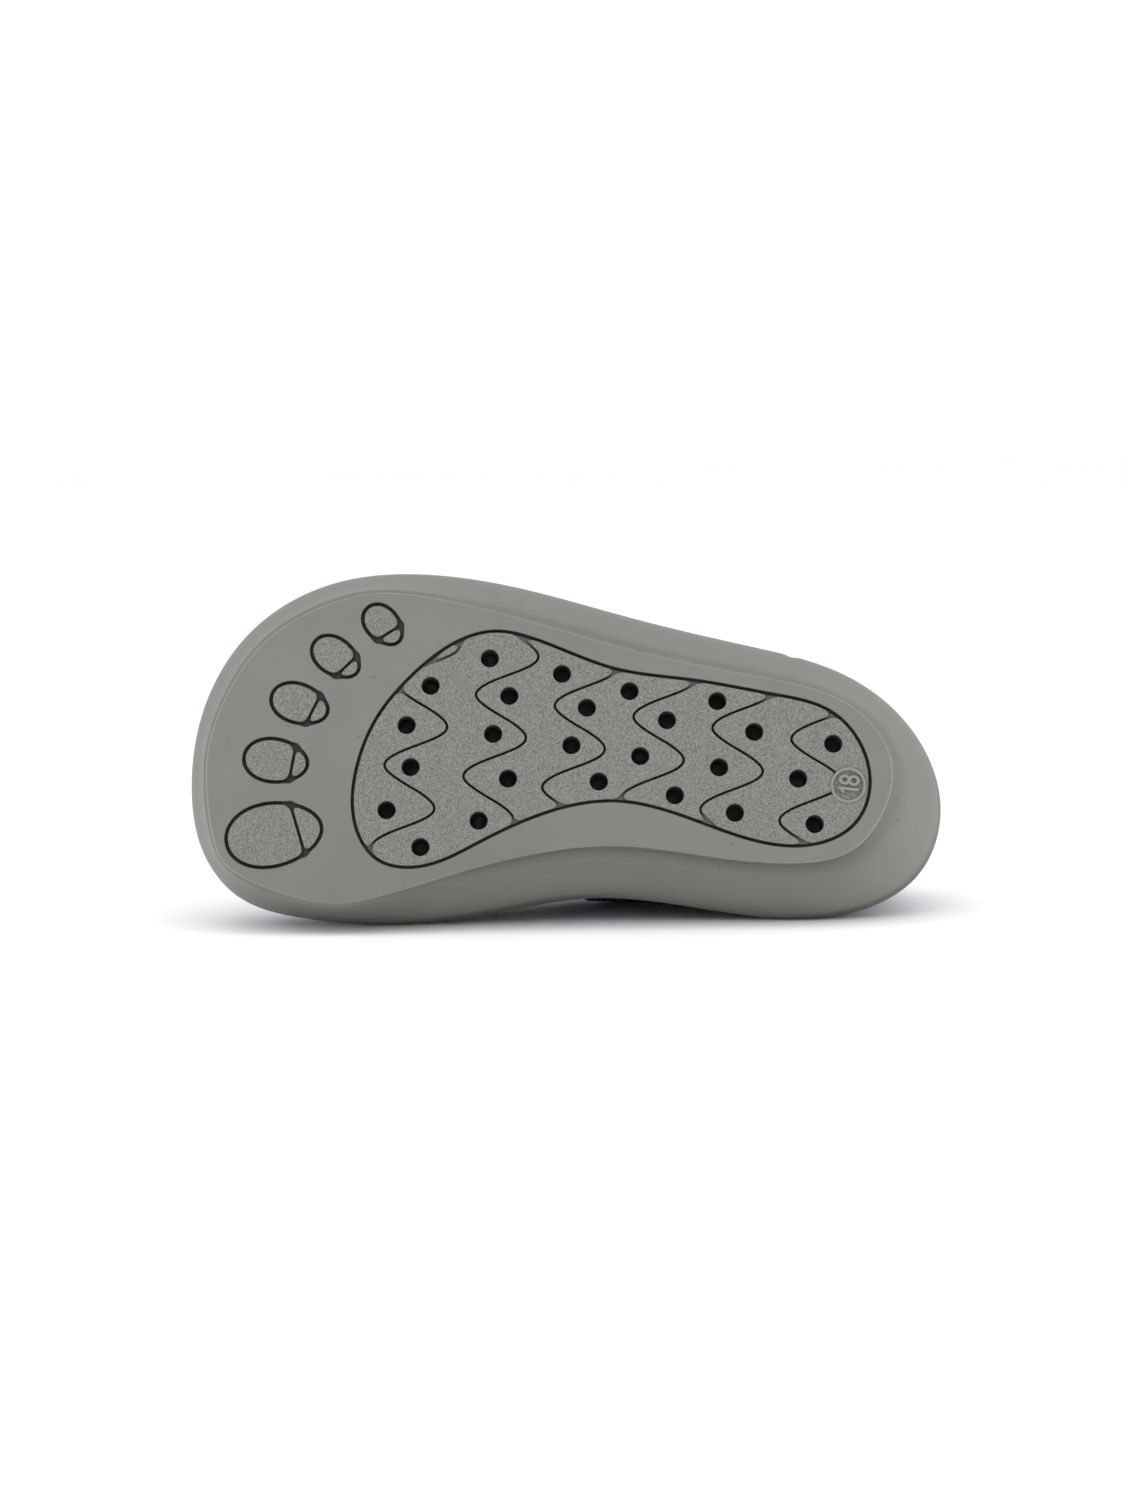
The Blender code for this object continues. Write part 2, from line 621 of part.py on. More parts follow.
def strap_rows(middle, levels, shares):
    """Points across the strap on one side of the upper, a row for each level."""
    rows = []
    for level, share in zip(levels, shares):
        ends = upper_outside(middle + np.array([-STRAP_SPAN, STRAP_SPAN]), level)
        half = STRAP_SPAN * STRAP_WIDTH * share / np.linalg.norm(ends[1] - ends[0])
        rows.append(upper_outside(middle + half * np.linspace(-1, 1, 7), level))
    return np.array(rows)


def make_strap():
    climb_levels = np.linspace(0.84, 1, 4)
    climb = strap_rows(KNOTS[PLACE["waist inner front"]], climb_levels, (0.96, 1, 1, 1))
    fall_levels = np.linspace(1, 0.34, 9)
    fall_shares = np.interp(fall_levels, (0.34, 0.38, 0.46), (0.6, 0.86, 1))
    fall = strap_rows(KNOTS[PLACE["waist outer front"]], fall_levels, fall_shares)[:, ::-1]
    width = np.linalg.norm(fall[0] - climb[-1], axis=1, keepdims=True)
    start = unit(climb[-1] - climb[-2]) * width
    end = unit(fall[1] - fall[0]) * width
    over_tongue = bridge(climb[-1], fall[0], start, end, (0.2, 0.4, 0.6, 0.8))
    grid = np.concatenate([climb, over_tongue, fall])
    normals = grid_normals(grid)
    under = grid + normals * STRAP_GAP
    over = grid + normals * (STRAP_GAP + STRAP_THICK)
    return make_slab("strap", under, over, make_material("indigo strap", (0.04, 0.035, 0.2), 0.6))


def lying_axes(tilt):
    """The shoe's axes once it lies on its inner side, leaning back by tilt."""
    s, c = math.sin(tilt), math.cos(tilt)
    return np.array([[-1, 0, 0], [0, s, c], [0, c, -s]])


def lay_on_side(pieces):
    """Leans the shoe back from the rim of the sole until the upper touches the floor."""
    points = {piece.name: np.array([v.co for v in piece.data.vertices]) for piece in pieces}
    less, more = 0.0, math.radians(45)
    for _ in range(40):
        tilt = (less + more) / 2
        lowest = {name: (cloud @ lying_axes(tilt))[:, 2].min() for name, cloud in points.items()}
        rest = min(low for name, low in lowest.items() if name != "sole")
        less, more = (tilt, more) if rest > lowest["sole"] else (less, tilt)
    axes = lying_axes(tilt)
    cloud = np.concatenate(list(points.values())) @ axes
    low, high = cloud.min(axis=0), cloud.max(axis=0)
    holder = bpy.data.objects.new("lying shoe", None)
    bpy.context.scene.collection.objects.link(holder)
    place = Matrix.Translation((-(low[0] + high[0]) / 2, -(low[1] + high[1]) / 2, -low[2]))
    holder.matrix_world = place @ Matrix(axes.T).to_4x4()
    for piece in pieces:
        piece.parent = holder


for old in list(bpy.data.objects):
    bpy.data.objects.remove(old)
lay_on_side([make_sole(), make_insole(), make_upper(), make_tongue(), make_strap()])
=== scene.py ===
"""Looks of a baby sneaker that lies on its inner side, laid out as an add-on.

Shapes are worked out upright, in millimetres: x from the back of the heel to the toe, y from the
inner edge of the sole to the outer, z up from the tread. Each piece is then laid on its side.
"""

import math
from collections import namedtuple

import bmesh
import bpy
import numpy as np
from bpy.props import FloatProperty, FloatVectorProperty, PointerProperty
from mathutils import Matrix, Vector
from mathutils.bvhtree import BVHTree
from mathutils.geometry import delaunay_2d_cdt
from mathutils.kdtree import KDTree


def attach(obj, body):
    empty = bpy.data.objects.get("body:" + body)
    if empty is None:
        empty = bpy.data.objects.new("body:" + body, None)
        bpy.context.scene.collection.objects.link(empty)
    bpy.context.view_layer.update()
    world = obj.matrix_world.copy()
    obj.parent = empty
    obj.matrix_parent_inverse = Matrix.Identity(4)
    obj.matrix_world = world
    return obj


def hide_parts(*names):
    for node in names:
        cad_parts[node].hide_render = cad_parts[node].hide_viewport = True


bl_info = {
    "name": "Baby Sneaker",
    "version": (1, 0, 0),
    "blender": (4, 5, 0),
    "location": "3D View > Sidebar > Baby Sneaker",
    "description": "Dresses the solids of a baby sneaker lying on its side",
    "category": "Object",
}

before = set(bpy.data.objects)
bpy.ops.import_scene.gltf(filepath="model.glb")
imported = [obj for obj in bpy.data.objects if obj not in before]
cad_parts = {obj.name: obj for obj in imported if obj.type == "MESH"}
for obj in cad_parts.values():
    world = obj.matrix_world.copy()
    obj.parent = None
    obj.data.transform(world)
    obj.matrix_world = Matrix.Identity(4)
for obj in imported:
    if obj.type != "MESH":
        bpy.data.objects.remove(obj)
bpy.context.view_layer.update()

MM = 0.001
AROUND = 360  # points round the sole
GAP = 0.3  # between pieces that meet
MERGE = 0.004  # points of a piece that lie closer than this are one
FAR = 9.0  # more than any groove reaches

# Sole, in millimetres
LENGTH = 128.0
SPRING_FROM, TOE_SPRING = 88.0, 4.0  # the tread curls up from here to the toe
HEEL_FROM, HEEL_LIFT = 22.0, 0.8  # and a little from here to the back of the heel
BED_AT_HEEL, BED_AT_TOE = 10.0, 8.5  # thickness from the tread to the bed of the cup
CUP_WALL = 2.6
FLARE_FOOT = 1.2  # height of the tread step below the flare
RECESS_FROM, RECESS_OVER = 5.5, 2.5  # the recess beside the tread deepens where the flare is wider
LIP_INSET, LIP_RISE = 2.4, 0.5  # inner edge of the lip, from the rim

# Upper, insole, tongue and strap, in millimetres
WALL, COLLAR_WALL = 1.8, 3.4
COLLAR_FROM, COLLAR_OVER = 58.0, 16.0  # the wall thickens into the padded collar
UPPER_ROUND, UPPER_OVER = 300, 130  # round the upper, and up its outside and down its lining
INSOLE_THICK, INSOLE_AROUND = 2.8, 180  # and points round it
TONGUE_THICK, TONGUE_ROOT_THICK = 3.2, 1.2
TONGUE_WIDE, TONGUE_LONG = 34, 55
STRAP_THICK, STRAP_GAP, STRAP_WIDTH = 1.6, 0.5, 14.0
STRAP_SPAN = 0.02  # share of the way round the shoe over which the strap's width is measured

# Tread pattern, in millimetres
WALL_SLOPE = 0.07  # half the width over which the wall of a groove rounds down
SHALLOW_CUT, DEEP_CUT = 0.2, 0.75  # cuts deeper than the first get painted shade, those past the second a darker painted shade
MARK_X, MARK_Y, MARK_RADIUS, MARK_RING, MARK_DEPTH = 16.85, 20.85, 3.0, 0.5, 0.5
MARK_SLOPE = 0.1  # half the width over which the floor of the mark rounds down
# Radii at which the relief of the mark bends
MARK_BENDS = (2.35, 2.4, 2.45, 2.5, 2.55, 2.6, 2.9, 2.99, 3.07, 3.15, 3.23, 3.4)
MARK_RING_RISE = 0.1  # of the middle of its ring, above the tread's level
MOAT_OUT, MOAT_WIDTH, MOAT_DEPTH = 0.12, 0.16, 0.16  # round the ring of the mark
DIGITS_X, DIGITS_Y, DIGITS_SINK = -0.12, 0.17, 0.05  # how the size number sits in the mark
DIGITS_ASKEW, DIGITS_NARROW = math.radians(7), 0.8
NICK_X, NICK_Y, NICK_DEPTH, NICK_REACH = 25.1, 44.9, 0.5, 1.3  # in the lip, beside the heel
ZIGZAG_X, ZIGZAG_Y = 79.0, 37.1  # a tip that points to the toe
ZIGZAG_PITCH_X, ZIGZAG_PITCH_Y = 13.2, 2.07  # from one line to the next
ZIGZAG_PERIOD, ZIGZAG_SLANT = 13.75, 0.166
ZIGZAG_LINES = range(-4, 2)
RUN_OUT, RUN_OUT_FROM, RUN_OUT_OVER = 0.35, 0.9, 1.6  # share of its depth at the ring, and where it grows
RING_CLEAR, RING_TURN = 0.95, 0.35  # where its ends turn on to the ring, and how much
# How far a zigzag lies behind its tips, in twelve even steps over its period
ZIGZAG_WAVE = (0, 0.61, 2.55, 5.44, 8.12, 9.45, 9.29, 8.09, 6.37, 4.32, 2.4, 0.81)

# Shade painted on the tread towards its inner side under the ball: how dark it is, and where it lies
BALL_SHADE, BALL_SHADE_X, BALL_SHADE_OVER_X, BALL_SHADE_Y, BALL_SHADE_OVER_Y = 0.2, 84.0, 22.0, 28.0, 18.0

# How the shoe lies: leaning back on the rim of the sole and the quarter of the upper
LEAN = math.radians(12.29)
LIES_AT = (64.04, -34.48, 3.41)

# Sections round the shoe, from the tread, over the rim of the sole, to the edge of the opening
Section = namedtuple("Section", "place tread_x tread_y rim_x rim_y rim_z edge_x edge_y edge_z")
SECTIONS = (
    Section("heel back", 9.4, 22.0, -0.2, 19.5, 18.5, 6.2, 21.0, 52.5),
    Section("heel inner corner", 12.5, 13.9, 3.8, 7.5, 16.8, 9.8, 13.4, 51.0),
    Section("heel inner", 20.5, 8.5, 18.0, 0.25, 15.0, 19.0, 9.2, 47.8),
    Section("waist inner back", 36.5, 8.75, 36.0, 0.87, 14.7, 36.0, 8.8, 47.6),
    Section("waist inner", 59.0, 11.3, 60.5, 3.8, 14.7, 53.5, 10.8, 53.0),
    Section("waist inner front", 75.3, 9.0, 75.3, 1.75, 14.8, 66.5, 18.5, 49.5),
    Section("ball inner", 95.0, 3.5, 93.5, -0.15, 15.0, 75.5, 23.0, 45.5),
    Section("toe inner side", 107.5, 3.0, 108.5, 1.1, 15.3, 80.0, 25.3, 43.5),
    Section("toe inner corner", 119.6, 7.9, 120.6, 5.3, 16.0, 82.5, 27.0, 42.6),
    Section("toe inner", 123.3, 13.3, 126.4, 13.0, 16.6, 83.6, 28.5, 42.2),
    Section("toe tip", 124.6, 24.5, 128.3, 24.3, 17.0, 84.0, 30.0, 42.0),
    Section("toe outer", 122.1, 35.7, 125.9, 38.1, 16.6, 83.4, 31.8, 42.2),
    Section("toe outer corner", 114.4, 46.9, 117.6, 51.0, 16.0, 82.0, 33.5, 42.6),
    Section("ball outer front", 101.0, 53.7, 103.0, 58.95, 15.4, 79.0, 35.2, 43.5),
    Section("ball outer", 91.5, 54.4, 90.5, 60.2, 15.0, 74.0, 37.0, 45.3),
    Section("waist outer front", 74.1, 50.65, 73.0, 57.8, 14.6, 65.5, 39.2, 49.0),
    Section("waist outer", 53.2, 44.4, 52.0, 51.85, 14.4, 52.5, 40.6, 52.0),
    Section("heel outer front", 33.4, 39.8, 31.5, 46.65, 14.8, 33.0, 38.0, 47.0),
    Section("heel outer", 20.7, 36.6, 16.9, 42.15, 15.6, 17.0, 34.4, 47.6),
    Section("heel outer corner", 12.8, 31.4, 5.9, 34.0, 17.2, 8.7, 28.2, 50.6),
)
PLACE = {row.place: number for number, row in enumerate(SECTIONS)}

# How the wall of the upper curves from the rim to the opening, along the foot
WallForm = namedtuple("WallForm", "x rise lean_inner lean_outer reach drop puff_inner puff_outer")
WALL_FORMS = (
    WallForm(0, 11, 1.2, 1.2, 1.25, 13, 0, 0),
    WallForm(20, 11, -0.8, 0.8, 0.65, 12, 0, 0.5),
    WallForm(38, 12, 0, 0.8, 0.8, 11, 0.6, 0.5),
    WallForm(58, 15, 2.8, 0.8, 1, 7.5, 2.3, 0),
    WallForm(78, 15, 0.8, 1.2, 0.85, 5, 0.4, 0),
    WallForm(95, 14, 1.2, 1.4, 0.68, 4.5, 0, 0),
    WallForm(112, 15, 1.2, 1.2, 0.62, 3.5, 0, 0),
    WallForm(128, 16, 1, 1, 0.6, 3, 0, 0),
)

# Side of the sole from the tread to the inside of the lip: share of the way from the tread to the
# rim and millimetres beyond it, outwards and up, and how much deeper the recess beside the tread
# lies where the flare is wide. The surface rounds off between the rows.
SideRow = namedtuple("SideRow", "out_share out up_share up recess", defaults=(0,))
SIDE = (
    SideRow(0, -0.9, 0, 0),
    SideRow(0, -0.65, 0, 0),
    SideRow(0, 0.02, 0, 0),
    SideRow(0, 0.15, 0, 0.7, 0.6),
    SideRow(0.01, 0.28, 0, 1.3, 1.75),
    SideRow(0.09, 0.25, 0, 1.35, 2.25),
    SideRow(0.17, 0.18, 0.05, 1.3, 1.75),
    SideRow(0.27, 0.05, 0.165, 0.95, 0.7),
    SideRow(0.5, 0, 0.405, 0.45),
    SideRow(0.745, 0, 0.6, 0.25),
    SideRow(0.875, 0, 0.735, 0),
    SideRow(0.96, 0, 0.855, 0),
    SideRow(0.995, 0, 0.965, 0),
    SideRow(1, 0.02, 1, 0.35),
    SideRow(1, -0.25, 1, 0.9),
    SideRow(1, -1.3, 1, 1.1),
    SideRow(1, -LIP_INSET, 1, LIP_RISE),
)
SIDE_STEPS = 5  # rows of faces to each corner of the side
# Rows of the rounded side, from the tread to the lip: those painted pale as a highlight, and those at
# which the painted shade under the ball, in the recess and on the lip, and the nick, start, are full and
# end
HIGHLIT_ROWS = (7, 8, 9)
BALL_SHADE_ROWS = (8, 12)
RECESS_ROWS = (10, 12, 21, 28, 36, 41)
LIP_ROWS = (49, 53, 75, 80)
NICK_ROWS = (48, 58, 72, 80)
SHADE_AT_BACK, SHADE_AT_INNER_SIDE = 0.25, 0.7  # painted shade in the recess, at the back and on the inner side
SHADED_LIP = np.array([0.8, 0.45])  # the lip is painted with shade where its inside faces this way, at the heel
SMOOTH, SANDED, SHADED_DEEP, HIGHLIT = range(4)  # the sole's rubbers, in the order of its materials: the third painted dark as shade, the fourth pale as a highlight

# Outline of the footprint pad, in plan
PAD = np.array([
    (12.9, 21.6), (15.6, 14.3), (22.4, 10.8), (30.0, 10.9), (42.5, 15.0), (55.8, 18.5), (69.0, 16.2),
    (79.3, 11.6), (89.3, 7.9), (96.1, 9.4), (99.4, 14.2), (99.4, 25.2), (96.1, 33.3), (89.3, 41.3),
    (82.6, 46.2), (75.9, 48.1), (69.0, 46.7), (55.7, 41.5), (42.4, 39.3), (29.0, 36.7), (19.0, 33.4),
])  # fmt: skip

# Toe pads: egg-shaped, each cut across behind its middle
ToePad = namedtuple("ToePad", "toe x y half_length half_width turn cut_share cut_turn")
TOE_PADS = (
    ToePad("little", 94.5, 49.2, 4.2, 3.0, 48.7, 0.4, 10),
    ToePad("fourth", 102.5, 43.9, 4.75, 3.27, 36.9, 0.5, 11),
    ToePad("third", 108.7, 36.1, 5.25, 3.55, 20.6, 0.475, 7),
    ToePad("second", 112.8, 26.6, 5.7, 3.9, 9.7, 0.505, 2),
    ToePad("big", 113.2, 14.15, 8.4, 5.6, -8, 0.49, -8),
)

# Middles of the round holes in the pad
HOLES = np.array([
    (94.2, 17.8), (90.7, 32.1), (90.1, 25.0), (88.6, 11.5), (86.6, 38.7), (78.8, 15.8), (76.6, 43.2),
    (76.2, 30.4), (73.8, 22.8), (73.4, 36.8), (64.5, 40.4), (63.1, 28.3), (60.4, 34.6), (58.6, 22.1),
    (53.2, 37.3), (51.6, 26.3), (47.0, 32.3), (45.9, 19.6), (38.5, 35.4), (38.4, 24.2), (35.9, 16.5),
    (32.4, 30.1), (25.2, 22.1), (22.6, 14.4), (19.2, 27.9),
])  # fmt: skip

# Free end of the tongue above the throat
TongueRow = namedtuple("TongueRow", "rise width_share crown")
TONGUE_TOP = (
    TongueRow(14.0, 0.5, 2.0),
    TongueRow(12.6, 0.68, 2.8),
    TongueRow(9.5, 0.8, 3.4),
    TongueRow(4.5, 0.86, 4.0),
)
TONGUE_RISE_X, TONGUE_RISE_Z = -0.55, 0.835

# Soft creases in the leather: where they cross the middle of the foot, how they bend back at the
# sides, how deep and wide they are, and the side they favour
Crease = namedtuple("Crease", "x bow depth width side")
CREASES = (
    Crease(97.5, 0.010, 0.35, 2.0, 0.3),
    Crease(92.0, 0.012, 0.55, 2.2, -0.2),
    Crease(86.5, 0.014, 0.45, 2.0, 0.1),
)

# Rows of the upper's grid: levels up its outside and down its lining
OUTER_LEVELS = np.concatenate(
    [[-1, -0.5], np.linspace(0, 0.78, 40), np.linspace(0.79, 0.92, 27), np.linspace(0.935, 1, 6)]
)
INNER_LEVELS = np.concatenate([np.linspace(1, 0, 36), [-0.5, -1]])

# Seams of the upper and the rows of stitches beside them: levels at the collar, else millimetres
COLLAR_SEAM, COLLAR_SEAM_WIDTH, COLLAR_SEAM_DEPTH, COLLAR_STITCHES = 0.86, 0.012, 0.45, 0.035
HEEL_SEAM_WIDTH, HEEL_SEAM_DEPTH, HEEL_STITCHES = 0.35, 0.3, 1.3
VAMP_STEP, VAMP_STITCHES = 0.5, (1.1, 2.9)  # the vamp lies below the quarters that are sewn over it

# The insole's grid, from its underside out to its edge and back over the top: shares of the way
# from the middle to the edge, and of the thickness
INSOLE_MIDDLE = np.array([62.0, 28.0])
INSOLE_ROWS = (
    (0, 0), (0.5, 0), (0.97, 0), (0.99, 0.06), (1, 0.25), (1, 0.5), (0.995, 0.75), (0.985, 0.9),
    (0.965, 0.98), (0.94, 1), (0.85, 0.97), (0.7, 0.93), (0.5, 0.9), (0.3, 0.89), (0.15, 0.88),
    (0, 0.88),
)  # fmt: skip

# Soft lights: where they hang and how wide they are, in metres, and their shares of the power
Softbox = namedtuple("Softbox", "name place size share floor_only")
SOFTBOXES = (
    Softbox("left softbox", (-0.75, -0.25, 0.45), 0.7, 0.5, False),
    Softbox("right softbox", (0.75, -0.3, 0.3), 0.7, 0.85, False),
    Softbox("floor softbox", (0, -0.45, 0.85), 0.9, 1.4, True),
)
CAMERA_DOWN, CAMERA_ROLL = math.radians(5), math.radians(-0.83)
SOLE_MIDDLE = (64.6, 29.4, 15)  # what the camera and the lights point at
WAVE = 0.314  # scale of a wave pattern whose bands are one unit apart


def linear(code):
    """An sRGB hex colour as linear red, green and blue."""
    shares = [int(code[i : i + 2], 16) / 255 for i in (0, 2, 4)]
    return tuple(s / 12.92 if s <= 0.04045 else ((s + 0.055) / 1.055) ** 2.4 for s in shares)


def table(rows, *names):
    """The named columns of a table, as an array."""
    return np.array([[getattr(row, name) for name in names] for row in rows], float)


def knots_round(points):
    """Where each point of a closed outline lies along it, from 0 to 1."""
    steps = np.linalg.norm(np.roll(points, -1, axis=0) - points, axis=1)
    return np.concatenate([[0], np.cumsum(steps)]) / steps.sum()


def closed_spline(knots, values):
    """A function of the way round, smooth through every row of values."""
    span = np.diff(knots)
    count = len(span)
    system = np.zeros((count, count))
    change = np.zeros_like(values)
    for i in range(count):
        after = (i + 1) % count
        system[i, i - 1] += span[i - 1]
        system[i, i] += 2 * (span[i - 1] + span[i])
        system[i, after] += span[i]
        forward = (values[after] - values[i]) / span[i]
        change[i] = 6 * (forward - (values[i] - values[i - 1]) / span[i - 1])
    bend = np.linalg.solve(system, change)

    def at(way):
        way = np.asarray(way) % 1
        i = np.clip(np.searchsorted(knots, way, side="right") - 1, 0, count - 1)
        after = (i + 1) % count
        b = ((way - knots[i]) / span[i])[..., None]
        a = 1 - b
        curve = (a**3 - a) * bend[i] + (b**3 - b) * bend[after]
        return a * values[i] + b * values[after] + curve * (span[i] ** 2)[..., None] / 6

    return at


KNOTS = knots_round(table(SECTIONS, "rim_x", "rim_y"))
tread_edge = closed_spline(KNOTS, table(SECTIONS, "tread_x", "tread_y"))
rim = closed_spline(KNOTS, table(SECTIONS, "rim_x", "rim_y"))
rim_height = closed_spline(KNOTS, table(SECTIONS, "rim_z"))
opening = closed_spline(KNOTS, table(SECTIONS, "edge_x", "edge_y", "edge_z"))
pad_edge = closed_spline(knots_round(PAD), PAD)
zigzag_wave = closed_spline(np.linspace(0, 1, 13), np.array(ZIGZAG_WAVE)[:, None])
VAMP_INNER, VAMP_OUTER = KNOTS[PLACE["ball inner"]], KNOTS[PLACE["ball outer"]]


def wall_form_rows():
    """The wall's curve at each section, by its place along the foot."""
    along = table(WALL_FORMS, "x")[:, 0]
    rows = []
    for section in SECTIONS:
        side = "inner" if section.rim_y < LENGTH / 5 else "outer"
        names = ("rise", "lean_" + side, "reach", "drop", "puff_" + side)
        columns = table(WALL_FORMS, *names).T
        rows.append([np.interp(section.rim_x, along, column) for column in columns])
    return np.array(rows)


wall_form = closed_spline(KNOTS, wall_form_rows())


def ease(x):
    """0 below 0, 1 above 1 and smooth between."""
    x = np.clip(x, 0, 1)
    return x * x * (3 - 2 * x)


def tread_z(x):
    toe = np.clip((x - SPRING_FROM) / (LENGTH - SPRING_FROM), 0, None)
    heel = np.clip((HEEL_FROM - x) / HEEL_FROM, 0, None)
    return TOE_SPRING * toe**2 + HEEL_LIFT * heel**2


def bed_z(x):
    return tread_z(x) + BED_AT_HEEL + (BED_AT_TOE - BED_AT_HEEL) * x / LENGTH


def unit(vectors):
    return vectors / np.linalg.norm(vectors, axis=-1, keepdims=True)


def outwards(curve, way):
    """The direction in plan that points out of a closed curve."""
    ahead = curve(way + 1e-4) - curve(way - 1e-4)
    return unit(np.stack([ahead[..., 1], -ahead[..., 0]], axis=-1))


def with_height(plan, height):
    return np.concatenate([plan, np.asarray(height)[..., None]], axis=-1)


def side_ring(way, row):
    """One ring of the side of the sole."""
    foot = tread_edge(way)
    flare = rim(way) - foot
    plan = foot + flare * row.out_share + outwards(rim, way) * row.out
    low = tread_z((foot if row.out_share else plan)[..., 0])
    up = row.up + row.recess * ease((np.linalg.norm(flare, axis=-1) - RECESS_FROM) / RECESS_OVER)
    return with_height(plan, low + (rim_height(way)[..., 0] - low) * row.up_share + up)


def cup_ring(way, inset):
    """The ring at the foot of the cup's inner wall, moved in by inset."""
    foot, edge = tread_edge(way), rim(way)
    low = tread_z(foot[..., 0])
    share = (bed_z(edge[..., 0]) - low - FLARE_FOOT) / (rim_height(way)[..., 0] - low)
    flare = np.linalg.norm(edge - foot, axis=-1)
    into = (1 - share) * flare + CUP_WALL + inset
    plan = edge - outwards(rim, way) * into[..., None]
    return with_height(plan, bed_z(plan[..., 0]))


def rounded_rows(rows, steps):
    """Rows of points with the corners between them rounded off, a few steps to each corner."""
    made = [rows[0]]
    for i in range(1, len(rows) - 1):
        start = rows[0] if i == 1 else (rows[i - 1] + rows[i]) / 2
        end = rows[-1] if i == len(rows) - 2 else (rows[i] + rows[i + 1]) / 2
        for t in np.arange(1, steps + 1) / steps:
            made.append((1 - t) ** 2 * start + 2 * t * (1 - t) * rows[i] + t * t * end)
    return np.array(made)


def upper_form(way, level):
    """The outside of the upper: level -1 is the bed of the cup, 0 the rim and 1 the opening."""
    way, level = np.broadcast_arrays(way, level)
    up = np.array([0, 0, 1.0])
    base = cup_ring(way, 1.2 * GAP) + up * GAP
    out = with_height(outwards(rim, way), np.zeros(way.shape))
    foot = with_height(rim(way), rim_height(way)[..., 0] + LIP_RISE + GAP)
    foot = foot - out * (LIP_INSET + 1.2 * GAP)
    edge = opening(way)
    rise, lean, reach, drop, puff = np.moveaxis(wall_form(way)[..., None], -2, 0)
    first = foot + up * rise + out * lean
    back = (foot - edge) * np.array([1, 1, 0.0])
    second = edge + back * reach + out * puff - up * drop
    t = np.clip(level, 0, 1)[..., None]
    s = 1 - t
    wall = s**3 * foot + 3 * s * s * t * first + 3 * s * t * t * second + t**3 * edge
    return wall + (base - foot) * np.clip(-level, 0, 1)[..., None]


def upper_normal(way, level):
    along = upper_form(way + 1e-4, level) - upper_form(way - 1e-4, level)
    high = np.clip(np.asarray(level) + 0.01, -1, 1)
    low = np.clip(np.asarray(level) - 0.01, -1, 1)
    return unit(np.cross(along, upper_form(way, high) - upper_form(way, low)))


def upper_inside(way, level, more=0.0):
    """The inside of the upper, moved further in by more."""
    way, level = np.broadcast_arrays(way, level)
    collar = np.clip((COLLAR_FROM - opening(way)[..., 0]) / COLLAR_OVER, 0, 1)
    swell = collar * ease((level - 0.5) / 0.4)
    thick = WALL + (COLLAR_WALL - WALL) * swell + more
    return upper_form(way, level) - upper_normal(way, level) * thick[..., None]


def bridge(first, second, start_slope, end_slope, shares):
    """Points of a smooth curve from first to second, with the slopes given at its ends."""
    rows = []
    for s in shares:
        start, end = 2 * s**3 - 3 * s**2 + 1, 3 * s**2 - 2 * s**3
        leave, arrive = s**3 - 2 * s**2 + s, s**3 - s**2
        rows.append(start * first + end * second + leave * start_slope + arrive * end_slope)
    return np.array(rows)


def turned(points, degrees):
    c, s = math.cos(math.radians(degrees)), math.sin(math.radians(degrees))
    return points @ np.array([[c, s], [-s, c]])


def egg(x, y, half_length, half_width, turn, count):
    angle = np.linspace(0, 2 * np.pi, count, endpoint=False)
    along = half_length * np.cos(angle)
    across = half_width * np.sin(angle) * (1 + 0.1 * np.cos(angle))
    return turned(np.stack([along, across], axis=1), turn) + np.array([x, y])


def circle(x, y, radius, count):
    angle = np.linspace(0, 2 * np.pi, count, endpoint=False)
    return np.stack([x + radius * np.cos(angle), y + radius * np.sin(angle)], axis=1)


def inside(points, ring):
    """Which points lie inside a closed outline in plan."""
    x, y = points[:, None, 0], points[:, None, 1]
    x0, y0 = ring[:, 0], ring[:, 1]
    x1, y1 = np.roll(x0, -1), np.roll(y0, -1)
    crosses = (y0 > y) != (y1 > y)
    where = x0 + (y - y0) * (x1 - x0) / np.where(y1 == y0, 1, y1 - y0)
    return (crosses & (x < where)).sum(axis=1) % 2 == 1


def even(points, step, closed):
    """Points a step apart along a line."""
    if closed:
        points = np.concatenate([points, points[:1]])
    along = np.concatenate([[0], np.cumsum(np.linalg.norm(np.diff(points, axis=0), axis=1))])
    count = max(2, round(along[-1] / step))
    marks = np.linspace(0, along[-1], count + 1)
    spread = np.stack([np.interp(marks, along, column) for column in points.T], axis=1)
    return spread[:-1] if closed else spread


def zigzag(line):
    """The middle of one zigzag groove: a row of points across the sole."""
    y = np.arange(0, 60, 0.05)
    from_tip = y - ZIGZAG_Y - line * ZIGZAG_PITCH_Y
    behind = zigzag_wave(from_tip / ZIGZAG_PERIOD)[:, 0]
    x = ZIGZAG_X + line * ZIGZAG_PITCH_X - ZIGZAG_SLANT * from_tip - behind
    return np.stack([x, y], axis=1)


# One kind of groove: the middles of its lines, whether they close, half its width, and how far off
# another groove it starts to widen
Groove = namedtuple("Groove", "lines closed half_width join")


def tree_of(points):
    tree = KDTree(len(points))
    for i, point in enumerate(points):
        tree.insert((*point, 0), i)
    tree.balance()
    return tree


def run_to(points, ring):
    """A line that nears a ring at its ends: cut back clear of the ring, then turned on to it."""
    tree = tree_of(even(ring, 0.1, True))
    near = [tree.find((*point, 0)) for point in points]
    kept = np.flatnonzero([found[2] > RING_CLEAR for found in near])
    if len(kept) < 12:
        return []
    first, last = kept[0], kept[-1]
    runs = [points[first : last + 1]]
    onwards = np.arange(0.05, 3, 0.05)[:, None]
    ends = ((first, first + 8, first > 0), (last, last - 8, last < len(points) - 1))
    for i, before, trimmed in ends:
        if trimmed:
            ahead = unit(points[i] - points[before])
            across = unit(np.array(near[i][0][:2]) - points[i])
            run = points[i] + unit(ahead + RING_TURN * across) * onwards
            run = run[inside(run, ring)]
            runs = [run[::-1], *runs] if i == first else [*runs, run]
    return [np.concatenate(runs)]


